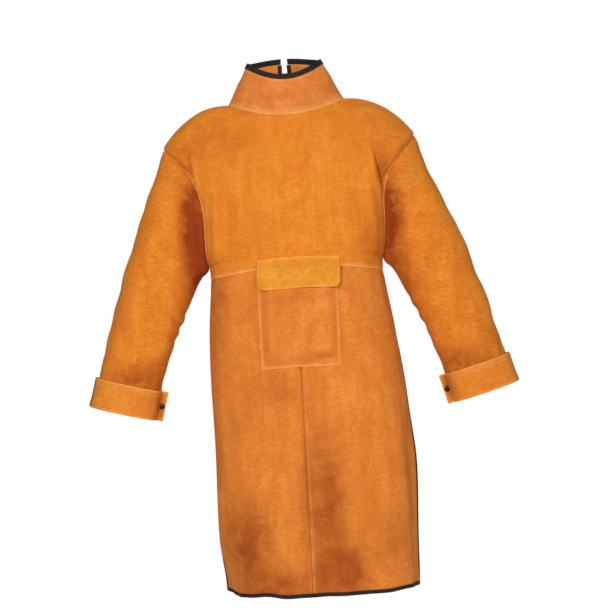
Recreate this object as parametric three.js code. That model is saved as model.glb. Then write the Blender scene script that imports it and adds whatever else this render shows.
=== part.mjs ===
// Leather welding coat: a back-fastening coat of split cowhide with a standing collar, long sleeves with
// snap cuffs, a flap pocket over the waist seam, an open-backed skirt and black tape on its free edges.
// Millimetres, +Z up. The wearer faces -Y and the wearer's left is +X. The origin is midway between the two
// points where the shoulder seams meet the collar. Every leather piece is a flat cut, bent onto the shape
// that the worn coat takes.
import * as THREE from "three";

// ---- Driving sizes ----
const coatLength = 1068; // neck point to hem
const shoulderWidth = 544; // tip to tip
const waistWidth = 376;
const hemWidth = 440;
const neckWidth = 252; // across the collar seam
const collarTopWidth = 160;
const collarHeight = 84; // at the side of the neck
const sleeveLength = 536; // shoulder tip to the end inside the cuff
const wristWidth = 136;
const cuffHeight = 65;
const pocketWidth = 172;
const pocketHeight = 211;
const leather = 1.6;
const tape = 1.2; // binding tape
const seamGap = 0.6; // left clear between pieces that are sewn edge to edge or face to face

// ---- Coat body ----
const shoulderDrop = 84; // neck point to shoulder tip
const armholeDepth = 266; // shoulder tip to armpit, in height
const sideSeam = 28; // armpit to waist seam
const waistRise = 18; // the waist seam is higher at the centre front than at the side
const waistDepth = 232;
const hemDepth = 272;
const chestDepth = 250;
const neckDepth = 160;
const neckForward = 8; // the neck sits this far in front of the coat's middle
const neckDip = 32; // the collar seam dips at the centre front
const neckLift = 11; // and rises at the centre back
const armholeWidth = 152; // front to back
const armholeScoop = { front: 34, back: 18 }; // how far the armhole is cut in
const armpitHalf = waistWidth / 2 + 2;
const skirtCut = 600; // flat width of the skirt, edge to edge
const skirtTurn = THREE.MathUtils.degToRad(-9); // the hanging skirt turns on the hips
const skirtShift = 13; // and swings to the wearer's left
const backGap = 14; // between the two backs, at the centre back
// How square each section is: 2 is an ellipse, more is squarer, less is more pointed.
const squareness = { waist: 2.4, shoulder: 1.9, collar: 2.1, arm: 2.2 };

// ---- Sleeves and cuffs ----
const armAngle = THREE.MathUtils.degToRad(19.3); // outer sleeve line, from the vertical
const wristTilt = THREE.MathUtils.degToRad(15.4); // the wrist's section, from the horizontal
const wristDepth = 112;
const wristForward = 18; // the forearm comes forward
const shoulderBulge = 8; // outer sleeve line, out from straight
const underarmBulge = 14; // inner sleeve line, out from straight
const armholeClear = 5; // lets the sleeve swing at the armhole
const cuffProud = 5; // the cuff stands off the sleeve
const cuffOverlap = 12; // length of sleeve inside the cuff
const finLength = 16; // the two cuff ends, face to face
const finRoot = 3; // from the sleeve to the root of the fin

// ---- Pocket ----
const pocketDrop = 8; // waist seam to the pocket's mouth
const pocketDepth = 10; // the pocket stands off the skirt
const pocketSlope = 1 / 7; // share of its width and height that it rises over
const flapWidth = pocketWidth + 10;
const flapHeight = 67;
const flapAbove = 18; // the flap is sewn on this far above the waist seam
const flapSlope = 0.3; // share of its height that it rises over, to clear the pocket
const flapCorner = { across: 0.16, down: 0.16 }; // shares that each lower corner is rounded over

// ---- Binding, straps and snaps ----
const tapeReach = 9; // tape on each side of a bound edge
const strapHeight = 38;
const strapRise = 0.28; // share of a strap's length that it rises over, from the sewn end to the snap's height
const waistStrapUp = 42; // waist seam to the waist strap's middle
const shoulderStrapUp = 0.62; // the upper strap's place, as a share of the way from waist seam to shoulder tip
const strapSewn = 74; // centre back to the sewn end
const strapFree = 62; // centre back to the free end
const snapInset = 16; // free end to the snap's centre
const collarTabHeight = 34;
const collarTabUp = 0.48; // the tab's middle, as a share of the collar's height
const snap = {
  cap: 6.5, // radii of the cap, socket, its bore, stud, stud's base and post
  socket: 5,
  bore: 2.6,
  stud: 1.8,
  base: 4.6,
  post: 5.2,
  dome: 1.7, // heights of the cap, the socket's ring and the stud's plate
  ring: 2.6,
  plate: 0.8,
  air: 0.3, // between the stud's plate and the socket
  seat: 0.8, // between each metal part and the bent leather under it
};
snap.lift = snap.plate + snap.ring + 2 * snap.seat + snap.air; // clear space that a closed snap holds open
const roundSides = 14;

const deg = THREE.MathUtils.degToRad;
const mix = THREE.MathUtils.lerp;
const ease = (x) => THREE.MathUtils.smoothstep(x, 0, 1);
const V = (x, y, z) => new THREE.Vector3(x, y, z);

const hide = new THREE.MeshStandardMaterial({ color: 0xdf8a2e, roughness: 0.95, metalness: 0 });
const blackTape = new THREE.MeshStandardMaterial({ color: 0x15130f, roughness: 0.85, metalness: 0 });
const blackMetal = new THREE.MeshStandardMaterial({ color: 0x17150f, roughness: 0.35, metalness: 0.9 });

const coat = new THREE.Group();

function add(name, geometry, material = hide) {
  const mesh = new THREE.Mesh(geometry, material);
  mesh.name = name;
  coat.add(mesh);
  return mesh;
}

// ---- Bending flat pieces ----

// Turns a closed mesh's faces outwards, whichever way a map has turned them.
function facedOut(geometry) {
  const p = geometry.getAttribute("position");
  const index = geometry.index.array;
  const [a, b, c] = [V(), V(), V()];
  let volume = 0;
  for (let i = 0; i < index.length; i += 3) {
    a.fromBufferAttribute(p, index[i]);
    b.fromBufferAttribute(p, index[i + 1]);
    c.fromBufferAttribute(p, index[i + 2]);
    volume += a.dot(b.cross(c));
  }
  if (volume < 0) {
    for (let i = 0; i < index.length; i += 3) {
      [index[i + 1], index[i + 2]] = [index[i + 2], index[i + 1]];
    }
  }
  return geometry;
}

// A unit box of nu x nv x nw cells, each corner of which goes where place(u, v, w) says.
function bent(nu, nv, nw, place) {
  const box = new THREE.BoxGeometry(1, 1, 1, nu, nv, nw);
  const p = box.getAttribute("position");
  for (let i = 0; i < p.count; i++) {
    const at = place(p.getX(i) + 0.5, p.getY(i) + 0.5, p.getZ(i) + 0.5);
    p.setXYZ(i, at.x, at.y, at.z);
  }
  box.deleteAttribute("normal");
  box.deleteAttribute("uv");
  return facedOut(box);
}

// The two directions in a surface and its normal, from places a small step apart.
function frameAt(surface, u, v) {
  const step = 1e-3;
  const alongU = surface(u + step, v).sub(surface(u - step, v)).normalize();
  const alongV = surface(u, v + step).sub(surface(u, v - step)).normalize();
  return { alongU, alongV, normal: alongU.clone().cross(alongV).normalize() };
}

// A piece of leather whose middle lies on surface(u, v), standing off it by lift(u, v).
function sheet(surface, nu, nv, lift = () => 0, thick = leather) {
  return bent(nu, nv, 1, (u, v, w) => {
    const { normal } = frameAt(surface, u, v);
    return surface(u, v).addScaledVector(normal, lift(u, v) + (w - 0.5) * thick);
  });
}

// A surface made of flat cells, as a sheet of nu x nv cells is, so that what is sewn to the sheet fits it.
function celled(surface, nu, nv) {
  const corner = (i, j) => surface(i / nu, j / nv);
  const cellOf = (x, n) => THREE.MathUtils.clamp(Math.floor(x * n), 0, n - 1);
  return (u, v) => {
    const [i, j] = [cellOf(u, nu), cellOf(v, nv)];
    const low = corner(i, j).lerp(corner(i + 1, j), u * nu - i);
    const high = corner(i, j + 1).lerp(corner(i + 1, j + 1), u * nu - i);
    return low.lerp(high, v * nv - j);
  };
}

// Tape folded over one edge of a sheet, "u0", "u1", "v0" or "v1", from..to of it. cells is the sheet's own
// count along that edge, and the tape bends where the sheet does.
function binding(surface, edge, cells, from = 0, to = 1) {
  const acrossU = edge[0] === "u";
  const end = Number(edge[1]);
  const bends = [...Array(cells).keys()].map((i) => i / cells).filter((s) => s > from + 0.01 && s < to - 0.01);
  const stops = [from, ...bends, to];
  return bent(stops.length - 1, 3, 1, (along, across, w) => {
    const s = stops[Math.round(along * (stops.length - 1))];
    const [u, v] = acrossU ? [end, s] : [s, end];
    const { alongU, alongV, normal } = frameAt(surface, u, v);
    const out = (acrossU ? alongU : alongV).multiplyScalar(end ? 1 : -1);
    const leg = across < 0.1 || across > 0.9;
    const side = across < 0.5 ? 1 : -1;
    const face = leather / 2 + seamGap + w * tape;
    const reach = leg ? -tapeReach : seamGap + w * tape;
    return surface(u, v).addScaledVector(normal, side * face).addScaledVector(out, reach);
  });
}

// Where a rounded section lies at angle q from its middle line: shares of its half width and half depth.
function rounded(q, n) {
  const [s, c] = [Math.sin(q), Math.cos(q)];
  const k = (Math.abs(s) ** n + Math.abs(c) ** n) ** (-1 / n);
  return { across: s * k, deep: c * k };
}

// ---- Armhole, shared by the body and the sleeve ----
const tip = V(shoulderWidth / 2, 0, -shoulderDrop);
const armpit = V(armpitHalf, 0, -shoulderDrop - armholeDepth);
const armholeMiddle = tip.clone().add(armpit).multiplyScalar(0.5);
const armholeUp = tip.clone().sub(armpit).multiplyScalar(0.5);
const armholeOut = armholeUp.clone().normalize().cross(V(0, -1, 0));

// round: 0 at the shoulder tip, pi at the armpit; positive at the front.
function armhole(round) {
  const { across, deep } = rounded(round, squareness.arm);
  const front = Math.sin(round) >= 0;
  const scoop = armholeScoop[front ? "front" : "back"] * Math.abs(Math.sin(round)) ** 3;
  return armholeMiddle
    .clone()
    .addScaledVector(armholeUp, deep)
    .add(V(-scoop * (1 + 0.6 * Math.cos(round)), (-across * armholeWidth) / 2, 0));
}

// ---- Bodice form: rows run round the body from the waist seam up to the collar seam ----
const armpitRow = 1;
const tipRow = 10;
const neckRow = 14;
const sideWaistZ = armpit.z - sideSeam;
const frontWaistZ = sideWaistZ + waistRise;
const backWaistZ = sideWaistZ + 6;
const neckPoint = V(neckWidth / 2, 3 - neckForward, 0);
const neckFront = [-neckDepth / 2 - neckForward, -neckDip];
const neckBack = [neckDepth / 2 - neckForward, neckLift];

// Centre front and centre back, as [y, z] at a few rows.
function middleLine(rows, places) {
  const line = new THREE.CubicInterpolant(rows, places.flat(), 2);
  return (row) => [...line.evaluate(THREE.MathUtils.clamp(row, rows[0], rows.at(-1)))];
}
const chestMidZ = mix(armpit.z, tip.z, 0.45);
const centreFront = middleLine([0, 1, 5, 10, 14], [
  [-waistDepth / 2, frontWaistZ],
  [-waistDepth / 2 - 2, armpit.z + 12],
  [-chestDepth / 2, chestMidZ],
  [-chestDepth / 2 + 5, tip.z - 40],
  neckFront,
]);
const centreBack = middleLine([0, 1, 5, 10, 14], [
  [waistDepth / 2 - 4, backWaistZ],
  [waistDepth / 2 - 3, armpit.z - 2],
  [chestDepth / 2, chestMidZ - 10],
  [chestDepth / 2 - 14, tip.z - 14],
  neckBack,
]);

function sideLine(row, front) {
  if (row < armpitRow) return V(waistWidth / 2, 0, sideWaistZ).lerp(armpit, row / armpitRow);
  if (row < tipRow) {
    const round = Math.PI * (1 - (row - armpitRow) / (tipRow - armpitRow));
    return armhole(front ? round : -round);
  }
  const share = Math.min(1, (row - tipRow) / (neckRow - tipRow));
  const seam = tip.clone().lerp(neckPoint, share);
  seam.z = mix(tip.z, neckPoint.z, 1 - (1 - share) ** 2.4); // a rounded shoulder
  return seam;
}

// round: 0 at the centre front, +-180 degrees at the centre back, positive to the wearer's left.
function bodice(round, row) {
  const turn = Math.atan2(Math.sin(round), Math.cos(round));
  const front = Math.abs(turn) <= Math.PI / 2;
  const q = front ? Math.abs(turn) : Math.PI - Math.abs(turn);
  const [y, z] = front ? centreFront(row) : centreBack(row);
  const side = sideLine(row, front);
  const n = mix(squareness.waist, squareness.shoulder, ease(row / tipRow));
  const { across, deep } = rounded(q, n);
  return V(
    Math.sign(turn) * side.x * across,
    mix(side.y, y, deep),
    mix(side.z, z, Math.cos(q) ** 2),
  );
}

// ---- Skirt form: drop is 0 at the waist seam and 1 at the hem ----
function skirtRing(round, drop) {
  const { across, deep } = rounded(round, squareness.waist);
  const halfWidth = mix(waistWidth, hemWidth, 1 - (1 - drop) ** 3) / 2;
  const halfDepth = mix(waistDepth, hemDepth, drop * drop) / 2;
  const waistZ = mix(Math.cos(round) > 0 ? frontWaistZ : backWaistZ, sideWaistZ, Math.sin(round) ** 2);
  const settle = ease(drop / 0.6);
  const at = V(across * halfWidth, -deep * halfDepth, mix(waistZ, -coatLength, drop));
  return at.applyAxisAngle(V(0, 0, 1), skirtTurn * settle).add(V(skirtShift * settle, 0, 0));
}

// The place on the skirt that is so many mm round from the centre-front seam, wearer's left positive.
function skirtAt(run, drop) {
  const step = deg(2) * Math.sign(run || 1);
  let round = 0;
  let left = Math.abs(run);
  let here = skirtRing(0, drop);
  for (;;) {
    const next = skirtRing(round + step, drop);
    const length = next.distanceTo(here);
    if (length >= left) return here.lerp(next, left / length);
    left -= length;
    round += step;
    here = next;
  }
}

// ---- Leather panels of the body ----
const shoulderSeam = Math.PI / 2;
const seamTurn = seamGap / waistDepth; // half a seam gap, as an angle at the side
const skirtDepth = coatLength + frontWaistZ;
const seamRow = 0.5 * (seamGap / sideSeam) * armpitRow;
const neckRowLength = tip.distanceTo(neckPoint) / (neckRow - tipRow);
const topRow = neckRow - (leather / 2 + seamGap) / neckRowLength;

const chest = (u, v) =>
  bodice(mix(-shoulderSeam + seamTurn, shoulderSeam - seamTurn, u), mix(seamRow, topRow, v));
add("chest_front", sheet(chest, 18, neckRow));

// side: 1 for the wearer's left, -1 for the right.
function backSurface(side) {
  return (u, v) => {
    const row = mix(seamRow, topRow, v);
    const at = bodice(side * mix(shoulderSeam + seamTurn, Math.PI - 1e-4, u), row);
    at.x -= side * -(backGap / 2) * ease((u - 0.5) * 2); // the centre-back edge stops short of the middle
    return at;
  };
}

const skirtSurface = (side) => (u, v) =>
  skirtAt(side * mix(seamGap / 2, skirtCut / 2, u), mix(seamGap / skirtDepth, 1, v));

for (const [name, side] of [["left", 1], ["right", -1]]) {
  const back = celled(backSurface(side), 7, neckRow);
  add(`back_${name}`, sheet(back, 7, neckRow));
  add(`back_edge_binding_${name}`, binding(back, "u1", neckRow, 0.012, 0.995), blackTape);
  add(`back_hem_binding_${name}`, binding(back, "v0", 7, 0.36, 0.9), blackTape);
  const skirt = celled(skirtSurface(side), 10, 14);
  add(`skirt_${name}`, sheet(skirt, 10, 14));
  add(`skirt_edge_binding_${name}`, binding(skirt, "u1", 14, 0.012, 0.984), blackTape);
  add(`hem_binding_${name}`, binding(skirt, "v1", 10, 0.002, 0.999), blackTape);
}

// ---- Collar: a cone that rises from the neck seam and is open at the centre back ----
const collarFrontDrop = 31; // the collar's top dips at the front
const collarBackLift = 14;
const collarTop = {
  half: collarTopWidth / 2,
  front: [-neckDepth / 2 - neckForward + 18, collarHeight - collarFrontDrop],
  side: [-neckForward + 3, collarHeight + 4],
  back: [neckDepth / 2 - neckForward - 8, collarHeight + 4 + collarBackLift],
};

function collarAt(round, rise) {
  const turn = Math.atan2(Math.sin(round), Math.cos(round));
  const front = Math.abs(turn) <= Math.PI / 2;
  const q = front ? Math.abs(turn) : Math.PI - Math.abs(turn);
  const middle = front ? collarTop.front : collarTop.back;
  const { across, deep } = rounded(q, squareness.collar);
  const top = V(
    Math.sign(turn) * collarTop.half * across,
    mix(collarTop.side[0], middle[0], deep),
    mix(collarTop.side[1], middle[1], Math.cos(q) ** 2),
  );
  return bodice(round, neckRow).lerp(top, rise);
}

const collarEnd = Math.PI - Math.atan(backGap / 2 / (neckDepth / 2));
const collarSurface = celled(
  (u, v) => collarAt(mix(-collarEnd, collarEnd, u), mix(seamGap / collarHeight, 1, v)),
  28,
  3,
);
add("collar", sheet(collarSurface, 28, 3));
add("collar_binding", binding(collarSurface, "v1", 28, 0.001, 0.999), blackTape);
const collarEndTo = 1 - (tapeReach + 2 * tape) / collarHeight;
add("collar_end_binding_left", binding(collarSurface, "u1", 3, 0.02, collarEndTo), blackTape);
add("collar_end_binding_right", binding(collarSurface, "u0", 3, 0.02, collarEndTo), blackTape);

// ---- Pocket and flap, laid on the front of the skirt ----
const pocketSurface = (u, v) =>
  skirtAt((0.5 - u) * pocketWidth, (pocketDrop + v * pocketHeight) / skirtDepth);
// Sewn down along its sides and bottom, standing off between them, open at the mouth.
const pocketLift = (u, v) => {
  const fromSides = ease(Math.min(u, 1 - u) / pocketSlope);
  const fromBottom = ease((1 - v) / pocketSlope);
  return leather + seamGap + pocketDepth * fromSides * fromBottom;
};
add("pocket", sheet(pocketSurface, 14, 10, pocketLift));

const flapSurface = (u, v) => skirtAt((0.5 - u) * flapWidth, (v * flapHeight - flapAbove) / skirtDepth);
const flapSewnLift = 2 * (leather + seamGap);
const flapFreeLift = pocketDepth + 2 * leather + 3 * seamGap;
const flapLift = (u, v) => mix(flapSewnLift, flapFreeLift, ease(v / flapSlope));
const flapCut = (u, v) => {
  const nearEnd = Math.max(0, 1 - Math.min(u, 1 - u) / flapCorner.across);
  return flapSurface(u, v * (1 - flapCorner.down * nearEnd * nearEnd));
};
add("pocket_flap", sheet(flapCut, 10, 6, flapLift));

// ---- Snaps ----
const turned = (profile) =>
  new THREE.LatheGeometry(profile.map(([r, y]) => new THREE.Vector2(r, y)), roundSides);

// The four parts of a closed snap. at is on the outer face of the leather that carries the stud.
function addSnap(name, at, out) {
  const tabInner = snap.lift;
  const tabOuter = tabInner + leather;
  const socketFrom = tabInner - snap.seat - snap.ring;
  const studTop = socketFrom + snap.ring * 0.35;
  const parts = {
    cap: [
      [0, tabOuter + snap.seat],
      [snap.cap, tabOuter + snap.seat],
      [snap.cap, tabOuter + snap.seat + 0.4 * snap.dome],
      [snap.cap * 0.62, tabOuter + snap.seat + 0.9 * snap.dome],
      [0, tabOuter + snap.seat + snap.dome],
    ],
    socket: [
      [snap.bore, socketFrom],
      [snap.socket, socketFrom],
      [snap.socket, socketFrom + snap.ring],
      [snap.bore, socketFrom + snap.ring],
      [snap.bore, socketFrom],
    ],
    stud: [
      [0, snap.seat],
      [snap.base, snap.seat],
      [snap.base, snap.seat + 0.5],
      [snap.stud * 0.8, snap.plate + snap.seat],
      [snap.stud, studTop - 0.5],
      [0, studTop],
    ],
    post: [
      [0, -leather - snap.seat - snap.plate],
      [snap.post, -leather - snap.seat - snap.plate],
      [snap.post, -leather - snap.seat],
      [0, -leather - snap.seat],
    ],
  };
  for (const [part, profile] of Object.entries(parts)) {
    const mesh = add(`${name}_snap_${part}`, turned(profile), blackMetal);
    mesh.position.copy(at);
    mesh.quaternion.setFromUnitVectors(V(0, 1, 0), out);
  }
}

// ---- Straps and collar tab: sewn on the wearer's left, snapped on the right ----
// ring(run, rise) is the surface that the strap crosses, run in mm from the centre back to the wearer's left.
function addStrap(name, ring, height) {
  const surface = (u, v) => ring(mix(strapSewn, -strapFree, u), (v - 0.5) * height);
  const sewnLift = leather + seamGap;
  const snapLift = leather + snap.lift;
  const lift = (u) => mix(sewnLift, snapLift, ease(u / strapRise));
  add(name, sheet(surface, 10, 2, lift));
  const u = 1 - snapInset / (strapSewn + strapFree);
  const out = frameAt(surface, u, 0.5).normal;
  addSnap(name, surface(u, 0.5).addScaledVector(out, leather / 2), out);
}

// A ring round the back of the bodice or the collar, walked by length from the centre back.
function walked(ring) {
  const step = deg(1);
  return (run) => {
    let round = Math.PI;
    let left = Math.abs(run);
    let here = ring(round);
    for (;;) {
      const next = ring(round - step * Math.sign(run || 1));
      const length = next.distanceTo(here);
      if (length >= left) return here.lerp(next, left / length);
      left -= length;
      round -= step * Math.sign(run || 1);
      here = next;
    }
  };
}

const rowAtBack = (z) => {
  const rows = [...Array(57).keys()].map((i) => (i * neckRow) / 56);
  return rows.find((row) => centreBack(row)[1] >= z) ?? neckRow;
};
const rowHeight = (centreBack(neckRow)[1] - centreBack(0)[1]) / neckRow;
function backRing(z) {
  const middle = rowAtBack(z);
  return (run, rise) => walked((round) => bodice(round, middle + rise / rowHeight))(run);
}
addStrap("waist_strap", backRing(backWaistZ + waistStrapUp), strapHeight);
addStrap("shoulder_strap", backRing(mix(backWaistZ, tip.z, shoulderStrapUp)), strapHeight);
const collarRing = (run, rise) =>
  walked((round) => collarAt(round, collarTabUp + rise / collarHeight))(run);
addStrap("collar_tab", collarRing, collarTabHeight);

// ---- Sleeves ----
const armAcross = V(Math.cos(armAngle), 0, Math.sin(armAngle));
const armDown = V(Math.sin(armAngle), 0, -Math.cos(armAngle));
const wristAcross = V(Math.cos(wristTilt), 0, Math.sin(wristTilt));
const wristDown = V(Math.sin(wristTilt), 0, -Math.cos(wristTilt));
const wristOuter = tip.clone().addScaledVector(armDown, sleeveLength);
const wristInner = wristOuter.clone().addScaledVector(wristAcross, -wristWidth);
const wristMiddle = wristOuter.clone().add(wristInner).multiplyScalar(0.5);
wristMiddle.y = -wristForward;

// round: 0 on the outer line, pi on the underarm seam; down: 0 at the armhole, 1 at the wrist.
function sleeveAt(round, down) {
  const outer = tip.clone().lerp(wristOuter, down);
  outer.addScaledVector(armAcross, shoulderBulge * Math.sin(Math.PI * down));
  const inner = armpit.clone().lerp(wristInner, down);
  inner.addScaledVector(armAcross, underarmBulge * Math.sin(Math.PI * down));
  const { across, deep } = rounded(round, squareness.arm);
  const half = mix(armholeWidth, wristDepth, down) / 2;
  const at = outer.clone().add(inner).multiplyScalar(0.5);
  at.addScaledVector(outer.sub(inner).multiplyScalar(0.5), deep);
  at.y -= across * half + wristForward * down * down;
  const flat = armholeMiddle.clone().addScaledVector(armholeUp, deep);
  flat.y -= (across * armholeWidth) / 2;
  at.addScaledVector(armholeOut, armholeClear * (1 - down));
  const scoopFade = Math.max(0, 1 - down / 0.4) ** 2;
  return at.addScaledVector(armhole(round).sub(flat), scoopFade);
}

const mirrored = (side) => (at) => V(side * at.x, at.y, at.z);

// ---- Cuff: a band round the wrist whose two ends lie face to face as a fin, held by a snap ----
const cuffHalf = wristWidth / 2 + cuffProud;
const cuffHalfDepth = wristDepth / 2 + cuffProud;
const finFrom = wristWidth / 2 + finRoot;
const finSpread = (snap.lift + leather) / 2; // each end's middle, from the fin's middle plane
const finTo = finFrom + finLength;
const cuffRootTurn = deg(163);

// inward: towards the body, ahead: towards the front, down: from the cuff's upper edge.
function cuffPlace(inward, ahead, down) {
  const at = wristMiddle.clone().addScaledVector(wristAcross, -inward);
  at.addScaledVector(wristDown, down - cuffOverlap);
  at.y -= ahead;
  return at;
}

function cuffRound(round) {
  const { across, deep } = rounded(round, squareness.arm);
  return [-deep * cuffHalf, across * cuffHalfDepth];
}

// A path round the wrist through [inward, ahead] corners, each the same step of s from the next.
function pathThrough(corners) {
  const last = corners.length - 1;
  const path = (s) => {
    const i = THREE.MathUtils.clamp(Math.floor(s * last), 0, last - 1);
    return [0, 1].map((k) => mix(corners[i][k], corners[i + 1][k], s * last - i));
  };
  return Object.assign(path, { cells: last });
}
const stations = (from, to, count) =>
  [...Array(count + 1).keys()].map((i) => cuffRound(mix(from, to, i / count)));
const bandPath = pathThrough([
  [finTo, -finSpread],
  [finFrom, -finSpread],
  ...stations(-cuffRootTurn, cuffRootTurn, 22),
]);
// The fin's front leaf hinges on the band's front end.
const tabRoot = bandPath(1)[0] + leather + seamGap;
const tabPath = pathThrough([
  [tabRoot, finSpread],
  [mix(tabRoot, finTo, 0.5), finSpread],
  [finTo, finSpread],
]);

for (const [name, side] of [["left", 1], ["right", -1]]) {
  const mirror = mirrored(side);
  const underarm = Math.PI - seamGap / armholeWidth;
  const sleeve = (u, v) => mirror(sleeveAt(mix(-underarm, underarm, u), v));
  add(`sleeve_${name}`, sheet(sleeve, 16, 14));

  const band = (u, v) => mirror(cuffPlace(...bandPath(u), v * cuffHeight));
  const tab = (u, v) => mirror(cuffPlace(...tabPath(u), v * cuffHeight));
  add(`cuff_${name}`, sheet(band, bandPath.cells, 2));
  add(`cuff_tab_${name}`, sheet(tab, tabPath.cells, 2));
  const bindAt = (u, v) => mirror(cuffPlace(...cuffRound(mix(deg(-17), deg(-9), u)), v * cuffHeight));
  const bindOut = frameAt(bindAt, 0.5, 0.5).normal.x * side > 0 ? 1 : -1;
  const bindLift = bindOut * (leather / 2 + seamGap + tape / 2);
  add(`cuff_binding_${name}`, sheet(bindAt, 2, 2, () => bindLift, tape), blackTape);

  const snapPlace = cuffPlace(finTo - snap.cap - 1.5, -finSpread + leather / 2, cuffHeight / 2);
  addSnap(`cuff_${name}`, mirror(snapPlace), V(0, -1, 0));
}

export default coat;
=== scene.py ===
import bpy
import bmesh
import math
import numpy as np
from mathutils import Matrix, Vector, noise


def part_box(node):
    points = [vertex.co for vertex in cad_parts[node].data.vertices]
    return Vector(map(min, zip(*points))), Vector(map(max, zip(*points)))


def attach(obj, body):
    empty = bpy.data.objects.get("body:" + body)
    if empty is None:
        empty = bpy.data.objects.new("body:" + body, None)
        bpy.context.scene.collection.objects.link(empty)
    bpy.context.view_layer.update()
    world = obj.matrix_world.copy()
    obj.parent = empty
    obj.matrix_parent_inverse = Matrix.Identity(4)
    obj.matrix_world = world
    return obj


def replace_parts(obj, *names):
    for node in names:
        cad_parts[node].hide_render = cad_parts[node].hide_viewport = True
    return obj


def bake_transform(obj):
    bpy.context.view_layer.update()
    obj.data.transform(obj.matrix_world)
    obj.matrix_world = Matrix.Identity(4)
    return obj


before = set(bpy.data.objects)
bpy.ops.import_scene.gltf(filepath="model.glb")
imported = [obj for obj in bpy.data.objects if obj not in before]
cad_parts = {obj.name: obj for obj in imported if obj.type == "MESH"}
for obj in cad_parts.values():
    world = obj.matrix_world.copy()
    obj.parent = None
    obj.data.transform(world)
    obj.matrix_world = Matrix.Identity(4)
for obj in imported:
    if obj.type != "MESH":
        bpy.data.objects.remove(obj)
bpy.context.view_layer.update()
print("frame loaded:", len(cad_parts), "nodes")

pi = math.pi
leather = 0.0016


def ease(x):
    x = np.clip(x, 0, 1)
    return x * x * (3 - 2 * x)


def mix(a, b, t):
    return a + (b - a) * t


def bump(x, middle, width):
    return np.exp(-(((x - middle) / width) ** 2))


def unit(a):
    return a / np.maximum(np.linalg.norm(a, axis=-1, keepdims=True), 1e-12)


def points(x, y, z):
    return np.stack(np.broadcast_arrays(x, y, z), axis=-1).astype(float)


# smooth noise from about -1 to 1, stretched by scale and moved by seed
def rough(x, y, z, scale, seed):
    p = points(x * scale[0] + seed, y * scale[1] - seed, z * scale[2] + 0.37 * seed)
    values = np.array([noise.noise(q) for q in p.reshape(-1, 3).tolist()])
    return values.reshape(p.shape[:-1]) * 1.6


def roughAt(p, scale, seed):
    return rough(p[..., 0], p[..., 1], p[..., 2], scale, seed)


# shares of the half width and half depth of a rounded section, at angle q from its middle line
def rounded(q, n):
    s, c = np.sin(q), np.cos(q)
    k = (np.abs(s) ** n + np.abs(c) ** n) ** (-1 / n)
    return s * k, c * k


# a smooth line through places at a few rows
def throughRows(rows, places):
    rows, places = np.array(rows, float), np.array(places, float)
    slopes = np.empty_like(places)
    slopes[1:-1] = (places[2:] - places[:-2]) / (rows[2:] - rows[:-2])[:, None]
    slopes[0] = (places[1] - places[0]) / (rows[1] - rows[0])
    slopes[-1] = (places[-1] - places[-2]) / (rows[-1] - rows[-2])

    def line(row):
        row = np.asarray(row, float)
        i = np.clip(np.searchsorted(rows, row, "right") - 1, 0, len(rows) - 2)
        h = (rows[i + 1] - rows[i])[..., None]
        t = (row[..., None] - rows[i][..., None]) / h
        a, b, m, n = places[i], places[i + 1], slopes[i] * h, slopes[i + 1] * h
        return (a * (2 * t**3 - 3 * t**2 + 1) + m * (t**3 - 2 * t**2 + t)
                + b * (3 * t**2 - 2 * t**3) + n * (t**3 - t**2))

    return line


# a ring walked by length: place(run, row), run in metres from the ring's angle 0
def walked(ring):
    angles = np.radians(np.arange(-210, 211, 2.0))

    def place(run, row):
        run, row = np.broadcast_arrays(np.asarray(run, float), np.asarray(row, float))
        turn = np.zeros(run.shape)
        rows, which = np.unique(np.round(row, 6), return_inverse=True)
        which = which.reshape(run.shape)
        for k, height in enumerate(rows):
            steps = np.linalg.norm(np.diff(ring(angles, height), axis=0), axis=1)
            length = np.concatenate([[0], np.cumsum(steps)])
            here = which == k
            turn[here] = np.interp(run[here], length - length[len(angles) // 2], angles)
        return ring(turn, row)

    return place


body = {
    "shoulderDrop": 0.084,
    "armholeDepth": 0.266,
    "armholeWidth": 0.152,
    "scoopFront": 0.034,
    "scoopBack": 0.018,
    "waistWidth": 0.376,
    "waistDepth": 0.232,
    "chestDepth": 0.250,
    "sideSeam": 0.028,
    "waistRise": 0.018,
    "backGap": 0.014,
    "hem": -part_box("skirt_left")[0].z,
    "hemWidth": 0.440,
    "hemDepth": 0.272,
    "skirtCut": 0.600,
    "skirtTurn": math.radians(-9),
    "skirtShift": 0.013,
}
neck = {
    "width": 0.252,
    "depth": 0.160,
    "forward": 0.008,
    "dip": 0.032,
    "lift": 0.011,
    "height": 0.084,
    "topWidth": 0.160,
    "frontDrop": 0.031,
    "backLift": 0.014,
}
tip = np.array([0.272, 0, -body["shoulderDrop"]])
armpit = np.array([body["waistWidth"] / 2 + 0.002, 0, tip[2] - body["armholeDepth"]])
armholeMiddle, armholeUp = (tip + armpit) / 2, (tip - armpit) / 2
armholeOut = np.cross(armholeUp, [0, -1, 0]) / np.linalg.norm(armholeUp)
sideWaistZ = armpit[2] - body["sideSeam"]
frontWaistZ = sideWaistZ + body["waistRise"]
backWaistZ = sideWaistZ + 0.006
armpitRow, tipRow, neckRow = 1, 10, 14
neckPoint = np.array([neck["width"] / 2, 0.003 - neck["forward"], 0])
chestMidZ = mix(armpit[2], tip[2], 0.45)
centreFront = throughRows([0, 1, 5, 10, 14], [
    [-body["waistDepth"] / 2, frontWaistZ],
    [-body["waistDepth"] / 2 - 0.002, armpit[2] + 0.012],
    [-body["chestDepth"] / 2, chestMidZ],
    [-body["chestDepth"] / 2 + 0.005, tip[2] - 0.040],
    [-neck["depth"] / 2 - neck["forward"], -neck["dip"]],
])
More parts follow.
